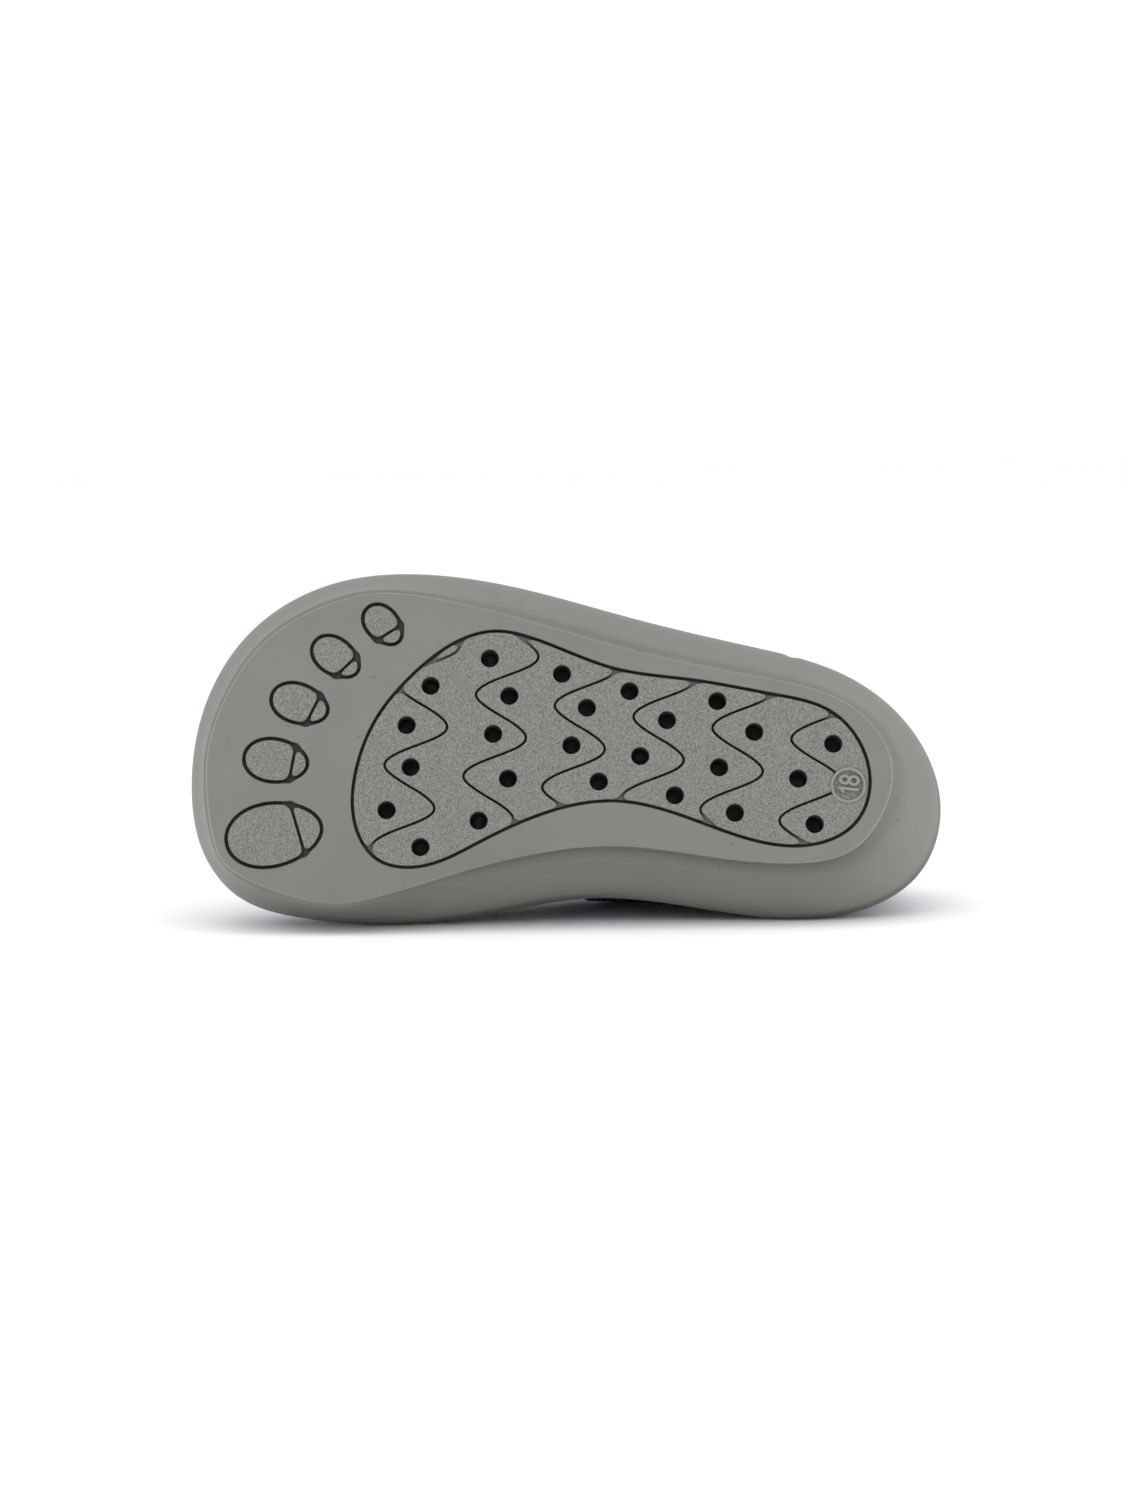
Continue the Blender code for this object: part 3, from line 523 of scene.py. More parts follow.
def groove_plan(width):
    """The grooves of the tread, each with its middles and its width."""
    way = np.linspace(0, 1, 1200, endpoint=False)
    pad = pad_edge(way) - outwards(pad_edge, way) * width / 2
    zigzags = []
    for line in ZIGZAG_LINES:
        points = zigzag(line)
        off_mark = np.linalg.norm(points - (MARK_X, MARK_Y), axis=1) > MARK_RADIUS + 0.15
        kept = np.flatnonzero(inside(points, pad) & off_mark)
        runs = np.split(kept, np.flatnonzero(np.diff(kept) > 1) + 1)
        for run in runs:
            zigzags += run_to(points[run], pad)
    toes, cuts = [], []
    for toe in TOE_PADS:
        half = np.array([toe.half_length, toe.half_width]) - width / 2
        toes.append(egg(toe.x, toe.y, *half, toe.turn, 400))
        reach = np.linspace(-1.2, 1.2, 400) * toe.half_width
        cut = turned(np.stack([0 * reach, reach], axis=1), toe.cut_turn)
        cut = turned(cut - np.array([toe.cut_share * toe.half_length, 0]), toe.turn)
        cut = cut + np.array([toe.x, toe.y])
        cuts.append(cut[inside(cut, toes[-1])])
    return {
        "pad": Groove([pad], True, width * 0.43, 0.45),
        "zigzag": Groove(zigzags, False, width * 0.3, 1.3),
        "toe": Groove(toes, True, width * 0.48, 0.45),
        "toe cut": Groove(cuts, False, width * 0.36, 1.0),
    }


def cut_depth(gap, deep):
    """How deep a cut is at a distance from its edge, which is below 0 inside it."""
    return deep * (1 - ease((gap + WALL_SLOPE) / (2 * WALL_SLOPE)))


def tread_relief(points, grooves, settings):
    """How deep the tread is cut at points in plan: a zigzag is shallow where it meets the ring."""
    gap = np.full(len(points), FAR)
    deep = settings.groove_depth / MM
    for kind, groove in grooves.items():
        tree = tree_of(np.concatenate([even(line, 0.05, groove.closed) for line in groove.lines]))
        near = np.array([tree.find((*point, 0))[2] for point in points]) - groove.half_width
        if kind == "zigzag":
            # Up to here the gap is to the ring of the pad alone
            near[~inside(points, grooves["pad"].lines[0][::4])] = FAR
            ring = cut_depth(gap, deep)
            run_out = RUN_OUT + (1 - RUN_OUT) * ease((gap - RUN_OUT_FROM) / RUN_OUT_OVER)
        blend = np.clip(1 - np.abs(gap - near) / groove.join, 0, None)
        gap = np.minimum(gap, near) - blend * blend * groove.join / 4
    depth = np.maximum(ring, cut_depth(gap, deep) * run_out)
    to_hole = np.linalg.norm(points[:, None] - HOLES, axis=2).min(axis=1)
    holes = cut_depth(to_hole - settings.hole_radius / MM, settings.hole_depth / MM)
    to_mark = np.linalg.norm(points - (MARK_X, MARK_Y), axis=1)
    past_floor = to_mark - MARK_RADIUS + MARK_RING
    floor = MARK_DEPTH * (1 - ease((past_floor + MARK_SLOPE) / (2 * MARK_SLOPE)))
    moat = MOAT_DEPTH * (1 - ease(np.abs(to_mark - MARK_RADIUS - MOAT_OUT) / MOAT_WIDTH))
    return np.max([depth, holes, floor, moat], axis=0)


def beside(line, closed, distance):
    """A line moved sideways."""
    if closed:
        ahead = np.roll(line, -1, axis=0) - np.roll(line, 1, axis=0)
    else:
        ahead = np.gradient(line, axis=0)
    return line + unit(np.stack([-ahead[:, 1], ahead[:, 0]], axis=1)) * distance


def tread_lines(grooves, settings):
    """The lines along which the tread bends: beside each groove and round each hole."""
    bends = np.array([-1, -0.5, 0, 0.5, 1, 2]) * WALL_SLOPE
    lines = []
    for groove in grooves.values():
        for middle in groove.lines:
            for distance in groove.half_width + bends:
                for side in (-1, 1):
                    spread = even(middle, 0.35, groove.closed)
                    lines.append((beside(spread, groove.closed, side * distance), groove.closed))
    for hole in HOLES:
        for radius in settings.hole_radius / MM + bends:
            lines.append((circle(*hole, radius, 36), True))
    for radius in MARK_BENDS:
        lines.append((circle(MARK_X, MARK_Y, radius, 48), True))
    return lines


def plan_fill(mesh, edge, lines, spots, height):
    """Fills an outline in plan with faces that follow the lines."""
    flat = [Vector(point[:2]) for point in edge]
    loop = list(range(len(flat)))
    cuts = []
    for points, closed in lines:
        first = len(flat)
        flat += [Vector(point) for point in points]
        cuts += [(i, i + 1) for i in range(first, len(flat) - 1)]
        if closed:
            cuts.append((len(flat) - 1, first))
    flat += [Vector(spot) for spot in spots]
    made, _, faces, _, _, _ = delaunay_2d_cdt(flat, cuts, [loop], 1, 1e-5)
    points = np.array([tuple(point) for point in made])
    heights = height(points)
    verts = [mesh.verts.new((*point, z)) for point, z in zip(points, heights)]
    return [mesh.faces.new([verts[i] for i in face]) for face in faces]


def grid_spots(edge, spacing):
    """Points on a square grid inside an outline."""
    low, high = edge[:, :2].min(axis=0), edge[:, :2].max(axis=0)
    axes = [np.arange(low[i] + spacing / 2, high[i], spacing) for i in (0, 1)]
    spots = np.stack(np.meshgrid(*axes), axis=-1).reshape(-1, 2)
    return spots[inside(spots, edge)]


def tread_spots(edge, grooves):
    """Points of the tread apart from its bends: a wide grid, and a fine one where grooves meet."""
    spots = [grid_spots(edge, 2.5)]
    for kind in ("zigzag", "toe cut"):
        for line in grooves[kind].lines:
            for end in (line[0], line[-1]):
                spots.append(grid_spots(circle(*end, 1.6, 24), 0.1))
    return np.concatenate(spots)


def lay_grid(mesh, points):
    """Adds a grid of faces with a vertex at each of the rows of points."""
    rows, columns = points.shape[:2]
    wide, high = columns - 1, rows - 1
    made = bmesh.ops.create_grid(mesh, x_segments=wide, y_segments=high, size=0.5, calc_uvs=True)
    for vert in made["verts"]:
        vert.co = points[round((vert.co.y + 0.5) * high), round((vert.co.x + 0.5) * wide)]


def scale_uv(mesh, width, height):
    """Sizes the grid's map so that a pattern on it is in millimetres."""
    layer = mesh.loops.layers.uv.verify()
    for face in mesh.faces:
        for loop in face.loops:
            loop[layer].uv = Vector((loop[layer].uv.x * width, loop[layer].uv.y * height))


def slab(under, over):
    """A sheet with thickness, between two grids of points."""
    mesh = bmesh.new()
    mesh.loops.layers.uv.verify()
    lay_grid(mesh, under)
    lay_grid(mesh, over)
    border = [edge for edge in mesh.edges if edge.is_boundary]
    bmesh.ops.bridge_loops(mesh, edges=border)
    bmesh.ops.recalc_face_normals(mesh, faces=mesh.faces)
    return mesh


def add_smoothing(piece, levels):
    smooth = piece.modifiers.new("smooth", "SUBSURF")
    smooth.levels = levels
    smooth.render_levels = levels


def grid_normals(grid):
    """Upward normals of a grid of points."""
    normals = unit(np.cross(np.gradient(grid, axis=0), np.gradient(grid, axis=1)))
    return normals * np.sign(normals[..., 2].sum())


def tongue_grid():
    """Rows of points over the tongue from its free end to its root, and its thickness there."""
    rows = []
    thick = []
    for share in np.linspace(0, 1, 10):
        inner = np.interp(share, (0, 1), (KNOTS[PLACE["waist inner"]], KNOTS[PLACE["toe inner"]]))
        outer = np.interp(share, (0, 1), (KNOTS[PLACE["waist outer"]], KNOTS[PLACE["toe outer"]]))
        deep = 0.97 - 0.11 * min(1, share / 0.35)
        under_in, edge_in = upper_inside(inner, np.array([deep, 0.985]), GAP * 1.3)
        under_out, edge_out = upper_inside(outer, np.array([deep, 0.985]), GAP * 1.3)
        width = np.linalg.norm(edge_out - edge_in)
        start = unit(edge_in - under_in) * width * 0.8
        end = unit(under_out - edge_out) * width * 0.8
        middle = bridge(edge_in, edge_out, start, end, (0.2, 0.4, 0.6, 0.8))
        rows.append([under_in, edge_in, *middle, edge_out, under_out])
        thick.append(TONGUE_THICK + (TONGUE_ROOT_THICK - TONGUE_THICK) * share)
    first = np.array(rows[0])
    centre = (first[1] + first[-2]) / 2
    aside = (first[-2] - first[1]) / 2
    rise = np.array([TONGUE_RISE_X, 0, TONGUE_RISE_Z])
    top = []
    for row in TONGUE_TOP:
        spread = np.linspace(-1, 1, len(first))[:, None]
        arch = np.array([0, 0, row.crown]) * (1 - spread**2)
        top.append(centre + aside * spread * row.width_share + arch + rise * row.rise)
    thick = np.array([TONGUE_THICK * 0.7] + [TONGUE_THICK] * (len(top) - 1) + thick)
    return np.array([*top, *rows]), thick


def strap_rows(middle, levels, shares):
    """Points across the strap on one side of the upper, a row for each level."""
    rows = []
    for level, share in zip(levels, shares):
        ends = upper_form(middle + np.array([-STRAP_SPAN, STRAP_SPAN]), level)
        half = STRAP_SPAN * STRAP_WIDTH * share / np.linalg.norm(ends[1] - ends[0])
        rows.append(upper_form(middle + half * np.linspace(-1, 1, 7), level))
    return np.array(rows)


def strap_grid():
    """Rows of points under the strap, from the inner side over the tongue to the outer."""
    climb_levels = np.linspace(0.84, 1, 4)
    climb = strap_rows(KNOTS[PLACE["waist inner front"]], climb_levels, (0.7, 0.94, 1, 1))
    fall_levels = np.linspace(1, 0.34, 9)
    fall_shares = np.interp(fall_levels, (0.34, 0.38, 0.46), (0.6, 0.86, 1))
    fall = strap_rows(KNOTS[PLACE["waist outer front"]], fall_levels, fall_shares)[:, ::-1]
    width = np.linalg.norm(fall[0] - climb[-1], axis=1, keepdims=True)
    start = unit(climb[-1] - climb[-2]) * width
    end = unit(fall[1] - fall[0]) * width
    over_tongue = bridge(climb[-1], fall[0], start, end, (0.2, 0.4, 0.6, 0.8))
    return np.concatenate([climb, over_tongue, fall])


def seam_distance(way, level, seam):
    """Millimetres from a seam that runs up the upper at one way round, backwards positive."""
    stretch = np.linalg.norm(upper_form(way + 1e-3, level) - upper_form(way - 1e-3, level), axis=-1)
    off = (np.asarray(way) - seam + 0.5) % 1 - 0.5
    return off * stretch / 2e-3


def upper_columns():
    """The ways round at which the upper has points: even, and close together at its seams."""
    near = np.array([0, 0.12, 0.25, 0.4, 0.6, 0.9, 1.4]) / UPPER_ROUND
    ways = [np.arange(UPPER_ROUND) / UPPER_ROUND]
    for seam in (0, VAMP_INNER, VAMP_OUTER):
        ways += [(seam + near) % 1, (seam - near) % 1]
    ways = np.unique(np.concatenate(ways).round(6))
    return np.concatenate([ways[ways < 0.99999], [1.0]])


def upper_outside(way, level):
    """The outside of the upper with its creases and seams."""
    points = upper_form(way, level)
    up_wall = ease(level / 0.06)
    sunk = np.zeros(len(points))
    for crease in CREASES:
        middle = crease.x - crease.bow * (points[:, 1] - 30 - 12 * crease.side) ** 2
        share = ease((level - 0.2) / 0.3) * (1 - ease((level - 0.88) / 0.12))
        sunk += crease.depth * share * np.exp(-(((points[:, 0] - middle) / crease.width) ** 2))
    ahead = np.minimum(seam_distance(way, level, VAMP_OUTER), -seam_distance(way, level, VAMP_INNER))
    inside_vamp = (way > VAMP_INNER - 0.1) & (way < VAMP_OUTER + 0.1)
    gone_under = np.where(inside_vamp, ease((0.3 - ahead) / 0.5), 0)
    sunk += VAMP_STEP * up_wall * gone_under
    at_heel = np.exp(-((seam_distance(way, level, 0) / HEEL_SEAM_WIDTH) ** 2))
    sunk += HEEL_SEAM_DEPTH * up_wall * at_heel
    at_collar = np.exp(-(((level - COLLAR_SEAM) / COLLAR_SEAM_WIDTH) ** 2))
    sunk += COLLAR_SEAM_DEPTH * at_collar * ease((COLLAR_FROM + 6 - points[:, 0]) / 8)
    return points - upper_normal(way, level) * sunk[:, None]


def stitch_paths():
    """The lines of stitches on each piece, as points in metres."""
    first, last = KNOTS[PLACE["waist outer"]], KNOTS[PLACE["waist inner"]]
    round_heel = np.concatenate([np.arange(first, 1, 0.004), np.arange(0, last, 0.004)])
    up_vamp, up_heel = np.linspace(0.04, 0.97, 60), np.linspace(0.04, COLLAR_SEAM - 0.05, 50)
    paths = [("lasted_upper", upper_form(round_heel, COLLAR_SEAM - COLLAR_STITCHES))]
    for seam, side in ((VAMP_INNER, -1), (VAMP_OUTER, 1)):
        for inset in VAMP_STITCHES:
            paths.append(("lasted_upper", upper_form(seam + side * inset / UPPER_ROUND, up_vamp)))
    for side in (-1, 1):
        paths.append(("lasted_upper", upper_form(side * HEEL_STITCHES / UPPER_ROUND, up_heel)))
    grid = strap_grid()
    over = grid + grid_normals(grid) * (STRAP_GAP + STRAP_THICK)
    round_strap = [over[1:-1, 1], over[-2, 2:5], over[1:-1, 5][::-1]]
    paths.append(("instep_strap", np.concatenate(round_strap)))
    tongue, _ = tongue_grid()
    round_tongue = [tongue[4:0:-1, 1], tongue[1, 2:6], tongue[1:5, 6]]
    paths.append(("padded_tongue", np.concatenate(round_tongue)))
    place = np.array(lying())
    return [(name, path @ place[:3, :3].T + place[:3, 3]) for name, path in paths]


def sew(mesh, piece, path, settings):
    """Adds a row of stitches along a path on a piece, pressed in where it meets the floor."""
    tree = BVHTree.FromObject(piece, bpy.context.evaluated_depsgraph_get())
    spots = [tree.find_nearest(Vector(point)) for point in even(path, settings.stitch_pitch, False)]
    half = settings.thread_width / 2
    for i in range(1, len(spots) - 1):
        middle, normal = spots[i][0], spots[i][1]
        middle.z = max(middle.z, 1.4 * half)
        ahead = spots[i + 1][0] - spots[i - 1][0]
        ahead = (ahead - normal * ahead.dot(normal)).normalized()
        axes = Matrix((ahead * settings.stitch_pitch * 0.4, normal.cross(ahead) * half, normal * half))
        place = Matrix.Translation(middle + normal * half * 0.4) @ axes.transposed().to_4x4()
        bmesh.ops.create_uvsphere(mesh, u_segments=6, v_segments=4, radius=1, matrix=place)


def lying():
    """The matrix that lays the upright shoe, in millimetres, on its inner side, in metres."""
    s, c = math.sin(LEAN), math.cos(LEAN)
    turn = Matrix(((-1, 0, 0), (0, s, c), (0, c, -s))).to_4x4()
    return Matrix.Scale(MM, 4) @ Matrix.Translation(LIES_AT) @ turn


def close(mesh):
    """Merges the seams and poles of a piece and turns its faces outwards."""
    bmesh.ops.remove_doubles(mesh, verts=mesh.verts, dist=MERGE)
    bmesh.ops.recalc_face_normals(mesh, faces=mesh.faces)


def finish(mesh, name, materials, node=None, laid=False):
    """Lays a piece on its side, unless it is laid, makes it an object and hands it to the frame."""
    if not laid:
        bmesh.ops.transform(mesh, matrix=lying(), verts=mesh.verts)
    for face in mesh.faces:
        face.smooth = True
    data = bpy.data.meshes.new(name)
    mesh.to_mesh(data)
    mesh.free()
    for material in materials:
        data.materials.append(material)
    piece = bpy.data.objects.new(name, data)
    bpy.context.scene.collection.objects.link(piece)
    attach(piece, "root")
    if node:
        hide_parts(node)
    return piece


def feed(tree, node, inputs):
    """Fills the inputs of a node with values, or with links from the outputs of other nodes."""
    for socket, value in inputs.items():
        if isinstance(value, bpy.types.NodeSocket):
            tree.links.new(value, node.inputs[socket])
        else:
            node.inputs[socket].default_value = value


def add_node(tree, kind, output, inputs, **settings):
    """Adds a shader node with its settings and inputs, and gives one of its outputs.

    A colour Mix has its share at input 0, its colours at 6 and 7 and its result at output 2.
    """
    made = tree.nodes.new("ShaderNode" + kind)
    for name, value in settings.items():
        setattr(made, name, value)
    feed(tree, made, inputs)
    return made.outputs[output]


def new_material(name):
    """A material with its tree and shader."""
    material = bpy.data.materials.new(name)
    material.use_nodes = True
    tree = material.node_tree
    return material, tree, tree.nodes["Principled BSDF"]


def smooth_rubber(name, dark, light, settings):
    """Grey rubber from a polished mould: a satin sheen, faint cloudiness, a few pits and painted shade."""
    material, tree, shader = new_material(name)
    where = add_node(tree, "TexCoord", "Object", {})
    cloud = add_node(tree, "TexNoise", "Fac", {"Vector": where, "Scale": 1 / (9 * MM), "Detail": 3})
    pits = add_node(tree, "TexNoise", "Fac", {"Vector": where, "Scale": 1 / (0.9 * MM), "Detail": 1})
    pit = add_node(tree, "MapRange", "Result", {"Value": pits, "From Min": 0.2, "From Max": 0.27})
    tint = add_node(tree, "Mix", 2, {0: cloud, 6: (*dark, 1), 7: (*light, 1)}, data_type="RGBA")
    pitted = {0: pit, 6: (*settings.rubber_pit, 1), 7: tint}
    skin = add_node(tree, "Mix", 2, pitted, data_type="RGBA")
    # Painted shade: a vertex attribute darkens the rubber towards the shade colour in recesses, cuts, on
    # the lip and under the ball
    grime = add_node(tree, "Attribute", "Fac", {}, attribute_name="grime")
    darkened = add_node(tree, "Mix", 2, {0: grime, 6: skin, 7: (*settings.grime, 1)}, data_type="RGBA")
    grain = add_node(tree, "TexNoise", "Fac", {"Vector": where, "Scale": 1 / (0.5 * MM), "Detail": 2})
    gloss = add_node(tree, "MapRange", "Result", {"Value": cloud, "To Min": 0.46, "To Max": 0.58})
    bump = add_node(tree, "Bump", "Normal", {"Height": grain, "Strength": 0.12, "Distance": 0.04 * MM})
    feed(tree, shader, {"Base Color": darkened, "Roughness": gloss, "Normal": bump, "IOR": 1.5})
    return material


def sanded_rubber(settings):
    """The same rubber from a blasted mould: sandy grains of about a third of a millimetre."""
    material, tree, shader = new_material("sanded moulded rubber")
    where = add_node(tree, "TexCoord", "Object", {})
    grains = {"Vector": where, "Scale": 1 / (0.28 * MM), "Detail": 1, "Roughness": 0.5}
    grit = add_node(tree, "TexNoise", "Fac", grains)
    spread = add_node(tree, "MapRange", "Result", {"Value": grit, "From Min": 0.3, "From Max": 0.7})
    greys = {0: spread, 6: (*settings.grit_dark, 1), 7: (*settings.grit_light, 1)}
    tint = add_node(tree, "Mix", 2, greys, data_type="RGBA")
    bump = add_node(tree, "Bump", "Normal", {"Height": grit, "Strength": 0.5, "Distance": 0.12 * MM})
    feed(tree, shader, {"Base Color": tint, "Roughness": 0.8, "Normal": bump, "IOR": 1.5})
    return material


def dyed_leather(settings):
    """Dyed and rolled leather: pebbles of under a millimetre, a soft sheen and uneven dye."""
    material, tree, shader = new_material("dyed grain leather")
    dark, light = (*settings.leather_dark, 1), (*settings.leather, 1)
    where = add_node(tree, "TexCoord", "Object", {})
    uneven = add_node(tree, "TexNoise", "Fac", {"Vector": where, "Scale": 1 / (7 * MM), "Detail": 4})
    bend = add_node(tree, "TexNoise", "Color", {"Vector": where, "Scale": 1 / (1.6 * MM), "Detail": 2})
    bent = {0: bend, 1: (0.6 * MM, 0.6 * MM, 0.6 * MM), 2: where}
    moved = add_node(tree, "VectorMath", "Vector", bent, operation="MULTIPLY_ADD")
    cells = {"Vector": moved, "Scale": 1 / (0.75 * MM)}
    pebble = add_node(tree, "TexVoronoi", "Distance", cells, feature="DISTANCE_TO_EDGE")
    edges = {"Value": pebble, "From Max": 0.22}
    grain = add_node(tree, "MapRange", "Result", edges, interpolation_type="SMOOTHSTEP")
    dye = add_node(tree, "Mix", 2, {0: uneven, 6: dark, 7: light}, data_type="RGBA")
    skin = add_node(tree, "Mix", 2, {0: grain, 6: dark, 7: dye}, data_type="RGBA")
    gloss = add_node(tree, "MapRange", "Result", {"Value": grain, "To Min": 0.7, "To Max": 0.46})
    bump = add_node(tree, "Bump", "Normal", {"Height": grain, "Strength": 0.35, "Distance": 0.12 * MM})
    feed(tree, shader, {"Base Color": skin, "Roughness": gloss, "Normal": bump, "Specular IOR Level": 0.25})
    return material


def knit(name, dark, light, stitch, depth):
    """A knit: columns of small loops, soft and dull, with a light nap. Sizes are in millimetres."""
    material, tree, shader = new_material(name)
    where = add_node(tree, "TexCoord", "UV", {})
    columns = {"Vector": where, "Scale": WAVE / stitch}
    wales = add_node(tree, "TexWave", "Fac", columns, bands_direction="X")
    rows = {"Vector": where, "Scale": WAVE / stitch * 1.4}
    courses = add_node(tree, "TexWave", "Fac", rows, bands_direction="Y")
    loops = add_node(tree, "Math", "Value", {0: wales, 1: courses}, operation="MULTIPLY")
    fuzz = add_node(tree, "TexNoise", "Fac", {"Vector": where, "Scale": 1 / 0.625, "Detail": 3})
    shade = add_node(tree, "Math", "Value", {0: loops, 1: fuzz}, operation="ADD", use_clamp=True)
    tint = add_node(tree, "Mix", 2, {0: shade, 6: (*dark, 1), 7: (*light, 1)}, data_type="RGBA")
    bump = add_node(tree, "Bump", "Normal", {"Height": loops, "Strength": 0.5, "Distance": depth * MM})
    feed(tree, shader, {"Base Color": tint, "Roughness": 0.9, "Normal": bump})
    feed(tree, shader, {"Sheen Weight": 0.25, "Sheen Roughness": 0.4})
    return material


def spun_thread(settings):
    """Polyester thread: two plies that twist every half millimetre, with a faint gloss."""
    material, tree, shader = new_material("spun polyester thread")
    where = add_node(tree, "TexCoord", "Object", {})
    plies = {"Vector": where, "Scale": WAVE / (0.5 * MM)}
    twist = add_node(tree, "TexWave", "Fac", plies, bands_direction="DIAGONAL")
    blues = {0: twist, 6: (*settings.leather, 1), 7: (*settings.thread, 1)}
    tint = add_node(tree, "Mix", 2, blues, data_type="RGBA")
    feed(tree, shader, {"Base Color": tint, "Roughness": 0.5})
    return material


def white_paper(settings):
    """Matt paper: an even white, with next to no glint."""
    material, tree, shader = new_material("matt white paper")
    paper = {"Base Color": (*settings.floor, 1), "Roughness": 0.9, "Specular IOR Level": 0.1}
    feed(tree, shader, paper)
    return material


def length(name, description, default):
    """A setting for a size, from millimetres."""
    return FloatProperty(name=name, description=description, default=default * MM, unit="LENGTH")


def colour(name, description, code):
    """A setting for a colour, from an sRGB hex value."""
    return FloatVectorProperty(name=name, description=description, default=linear(code), subtype="COLOR")


class SoleSettings(bpy.types.PropertyGroup):
    """Sizes and colours of the sole."""

    groove_width: length("Groove width", "Width of the grooves in the tread", 0.55)
    groove_depth: length("Groove depth", "Depth of the grooves in the tread", 2.0)
    hole_radius: length("Hole radius", "Radius of the round holes in the pad", 1.48)
    hole_depth: length("Hole depth", "Depth of the round holes in the pad", 7.0)
    digit_height: length("Digit height", "Height of the size number", 3.6)
    rubber: colour("Rubber", "Colour of the smooth rubber", "7b7d78")
    rubber_dark: colour("Cloudy rubber", "Colour of the smooth rubber where it is cloudy", "70726d")
    rubber_pit: colour("Pits", "Colour in the small pits of the rubber", "5f615d")
    # Painted shade at the bottom of deep cuts and holes
    cut_shade: colour("Cut shade", "Colour of the rubber at the bottom of grooves and holes", "30312f")
    # Painted shade beside the tread, in shallow cuts, on the heel's lip and under the ball
    grime: colour("Painted shade", "Colour painted as shade beside the tread, in shallow cuts, on the heel's lip and under the ball", "595b57")
    # Painted highlight on the tread's edge and the size mark
    worn: colour("Painted highlight", "Colour painted on the size mark and the tread's edge as a highlight", "92948e")
    grit_light: colour("Light grit", "Colour of the light grains on the sanded pads", "8a8c87")
    grit_dark: colour("Dark grit", "Colour of the dark grains on the sanded pads", "62635f")


class UpperSettings(bpy.types.PropertyGroup):
    """Sizes and colours of the upper, tongue, strap and insole."""

    stitch_pitch: length("Stitch pitch", "Distance from one stitch to the next", 2.6)
    thread_width: length("Thread width", "Thickness of the sewing thread", 0.5)
    leather: colour("Leather", "Colour of the dyed leather", "363069")
    leather_dark: colour("Dark leather", "Colour of the leather in its grain, where dye is heavy", "27224f")
    thread: colour("Thread", "Colour of the sewing thread", "5a5694")
    lining: colour("Lining", "Colour of the knitted lining", "8b8b92")
    lining_dark: colour("Dark lining", "Colour of the lining between its loops", "5c5c66")
    footbed: colour("Footbed", "Colour of the footbed's cloth", "9d9da0")
    footbed_dark: colour("Dark footbed", "Colour of the footbed's cloth between its loops", "77777c")


class StageSettings(bpy.types.PropertyGroup):
    """Floor, light and camera."""

    floor: colour("Floor", "Colour of the floor", "fbfbfb")
    sky: FloatProperty(name="Sky", description="Strength of the light from all round", default=1.03)
    softbox: FloatProperty(
        name="Softboxes", description="Power of a soft light whose share is 1", default=1.6, unit="POWER"
    )
    distance: length("Camera distance", "Distance from the camera to the middle of the sole", 713.5)
    lens: FloatProperty(name="Lens", description="Focal length of the camera", default=100.0, unit="CAMERA")


class ShoeSettings(bpy.types.PropertyGroup):
    """Everything that a user would change."""

    sole: PointerProperty(type=SoleSettings)
    upper: PointerProperty(type=UpperSettings)
    stage: PointerProperty(type=StageSettings)


def nick_side(side, way):
    """Cuts the nick into the rows of the sole's side."""
    from_nick = np.linalg.norm(rim(way) - (NICK_X, NICK_Y), axis=1)
    inwards = outwards(rim, way) * -NICK_DEPTH * (1 - ease(from_nick / NICK_REACH))[:, None]
    share = np.interp(np.arange(len(side)), NICK_ROWS, (0, 1, 1, 0))
    side[..., :2] += share[:, None, None] * inwards


def ball_shading(plan):
    """How much shade is painted on the tread, towards its inner side under the ball."""
    along = np.exp(-(((plan[..., 0] - BALL_SHADE_X) / BALL_SHADE_OVER_X) ** 2))
    return BALL_SHADE * along * ease((BALL_SHADE_Y - plan[..., 1]) / BALL_SHADE_OVER_Y)


def shade_on_side(side, way):
    """How much shade is painted on each row of the sole's side: in the recess, on the lip, under the ball.
    """
    row = np.arange(len(side))[:, None]
    flare = np.linalg.norm(rim(way) - tread_edge(way), axis=1)
    facing = -outwards(rim, way)
    back, inwards = np.clip(facing, 0, 1).T
    tread = np.interp(row, BALL_SHADE_ROWS, (1, 0)) * ball_shading(side)
    recess = np.interp(row, RECESS_ROWS, (0, 1, 1, 0.6, 0.2, 0))
    at_side = SHADE_AT_INNER_SIDE * ease((flare - 1) / 4) * inwards**2
    recess = recess * (SHADE_AT_BACK * back**2 + at_side)
    # Painted shade on the lip where its inside faces back and in
    at_heel = ease((facing @ SHADED_LIP - 0.3) / 0.3)
    lip = np.interp(row, LIP_ROWS, (0, 1, 1, 0)) * at_heel
    return np.maximum(tread, np.maximum(recess, lip))


def dress_side(mesh, side, way, grime):
    """Gives the faces of the sole's side their rubber, a painted highlight on the tread's edge and painted
    shade.
    """
    layer = mesh.loops.layers.uv.verify()
    shading = shade_on_side(side, way)
    for face in mesh.faces:
        rows = []
        for loop in face.loops:
            row = round(loop[layer].uv.y * (len(side) - 1))
            loop.vert[grime] = shading[row, round(loop[layer].uv.x * AROUND)]
            rows.append(row)
        # The rows along the tread's edge get the pale rubber painted as a highlight
        face.material_index = HIGHLIT if min(rows) in HIGHLIT_ROWS else SMOOTH


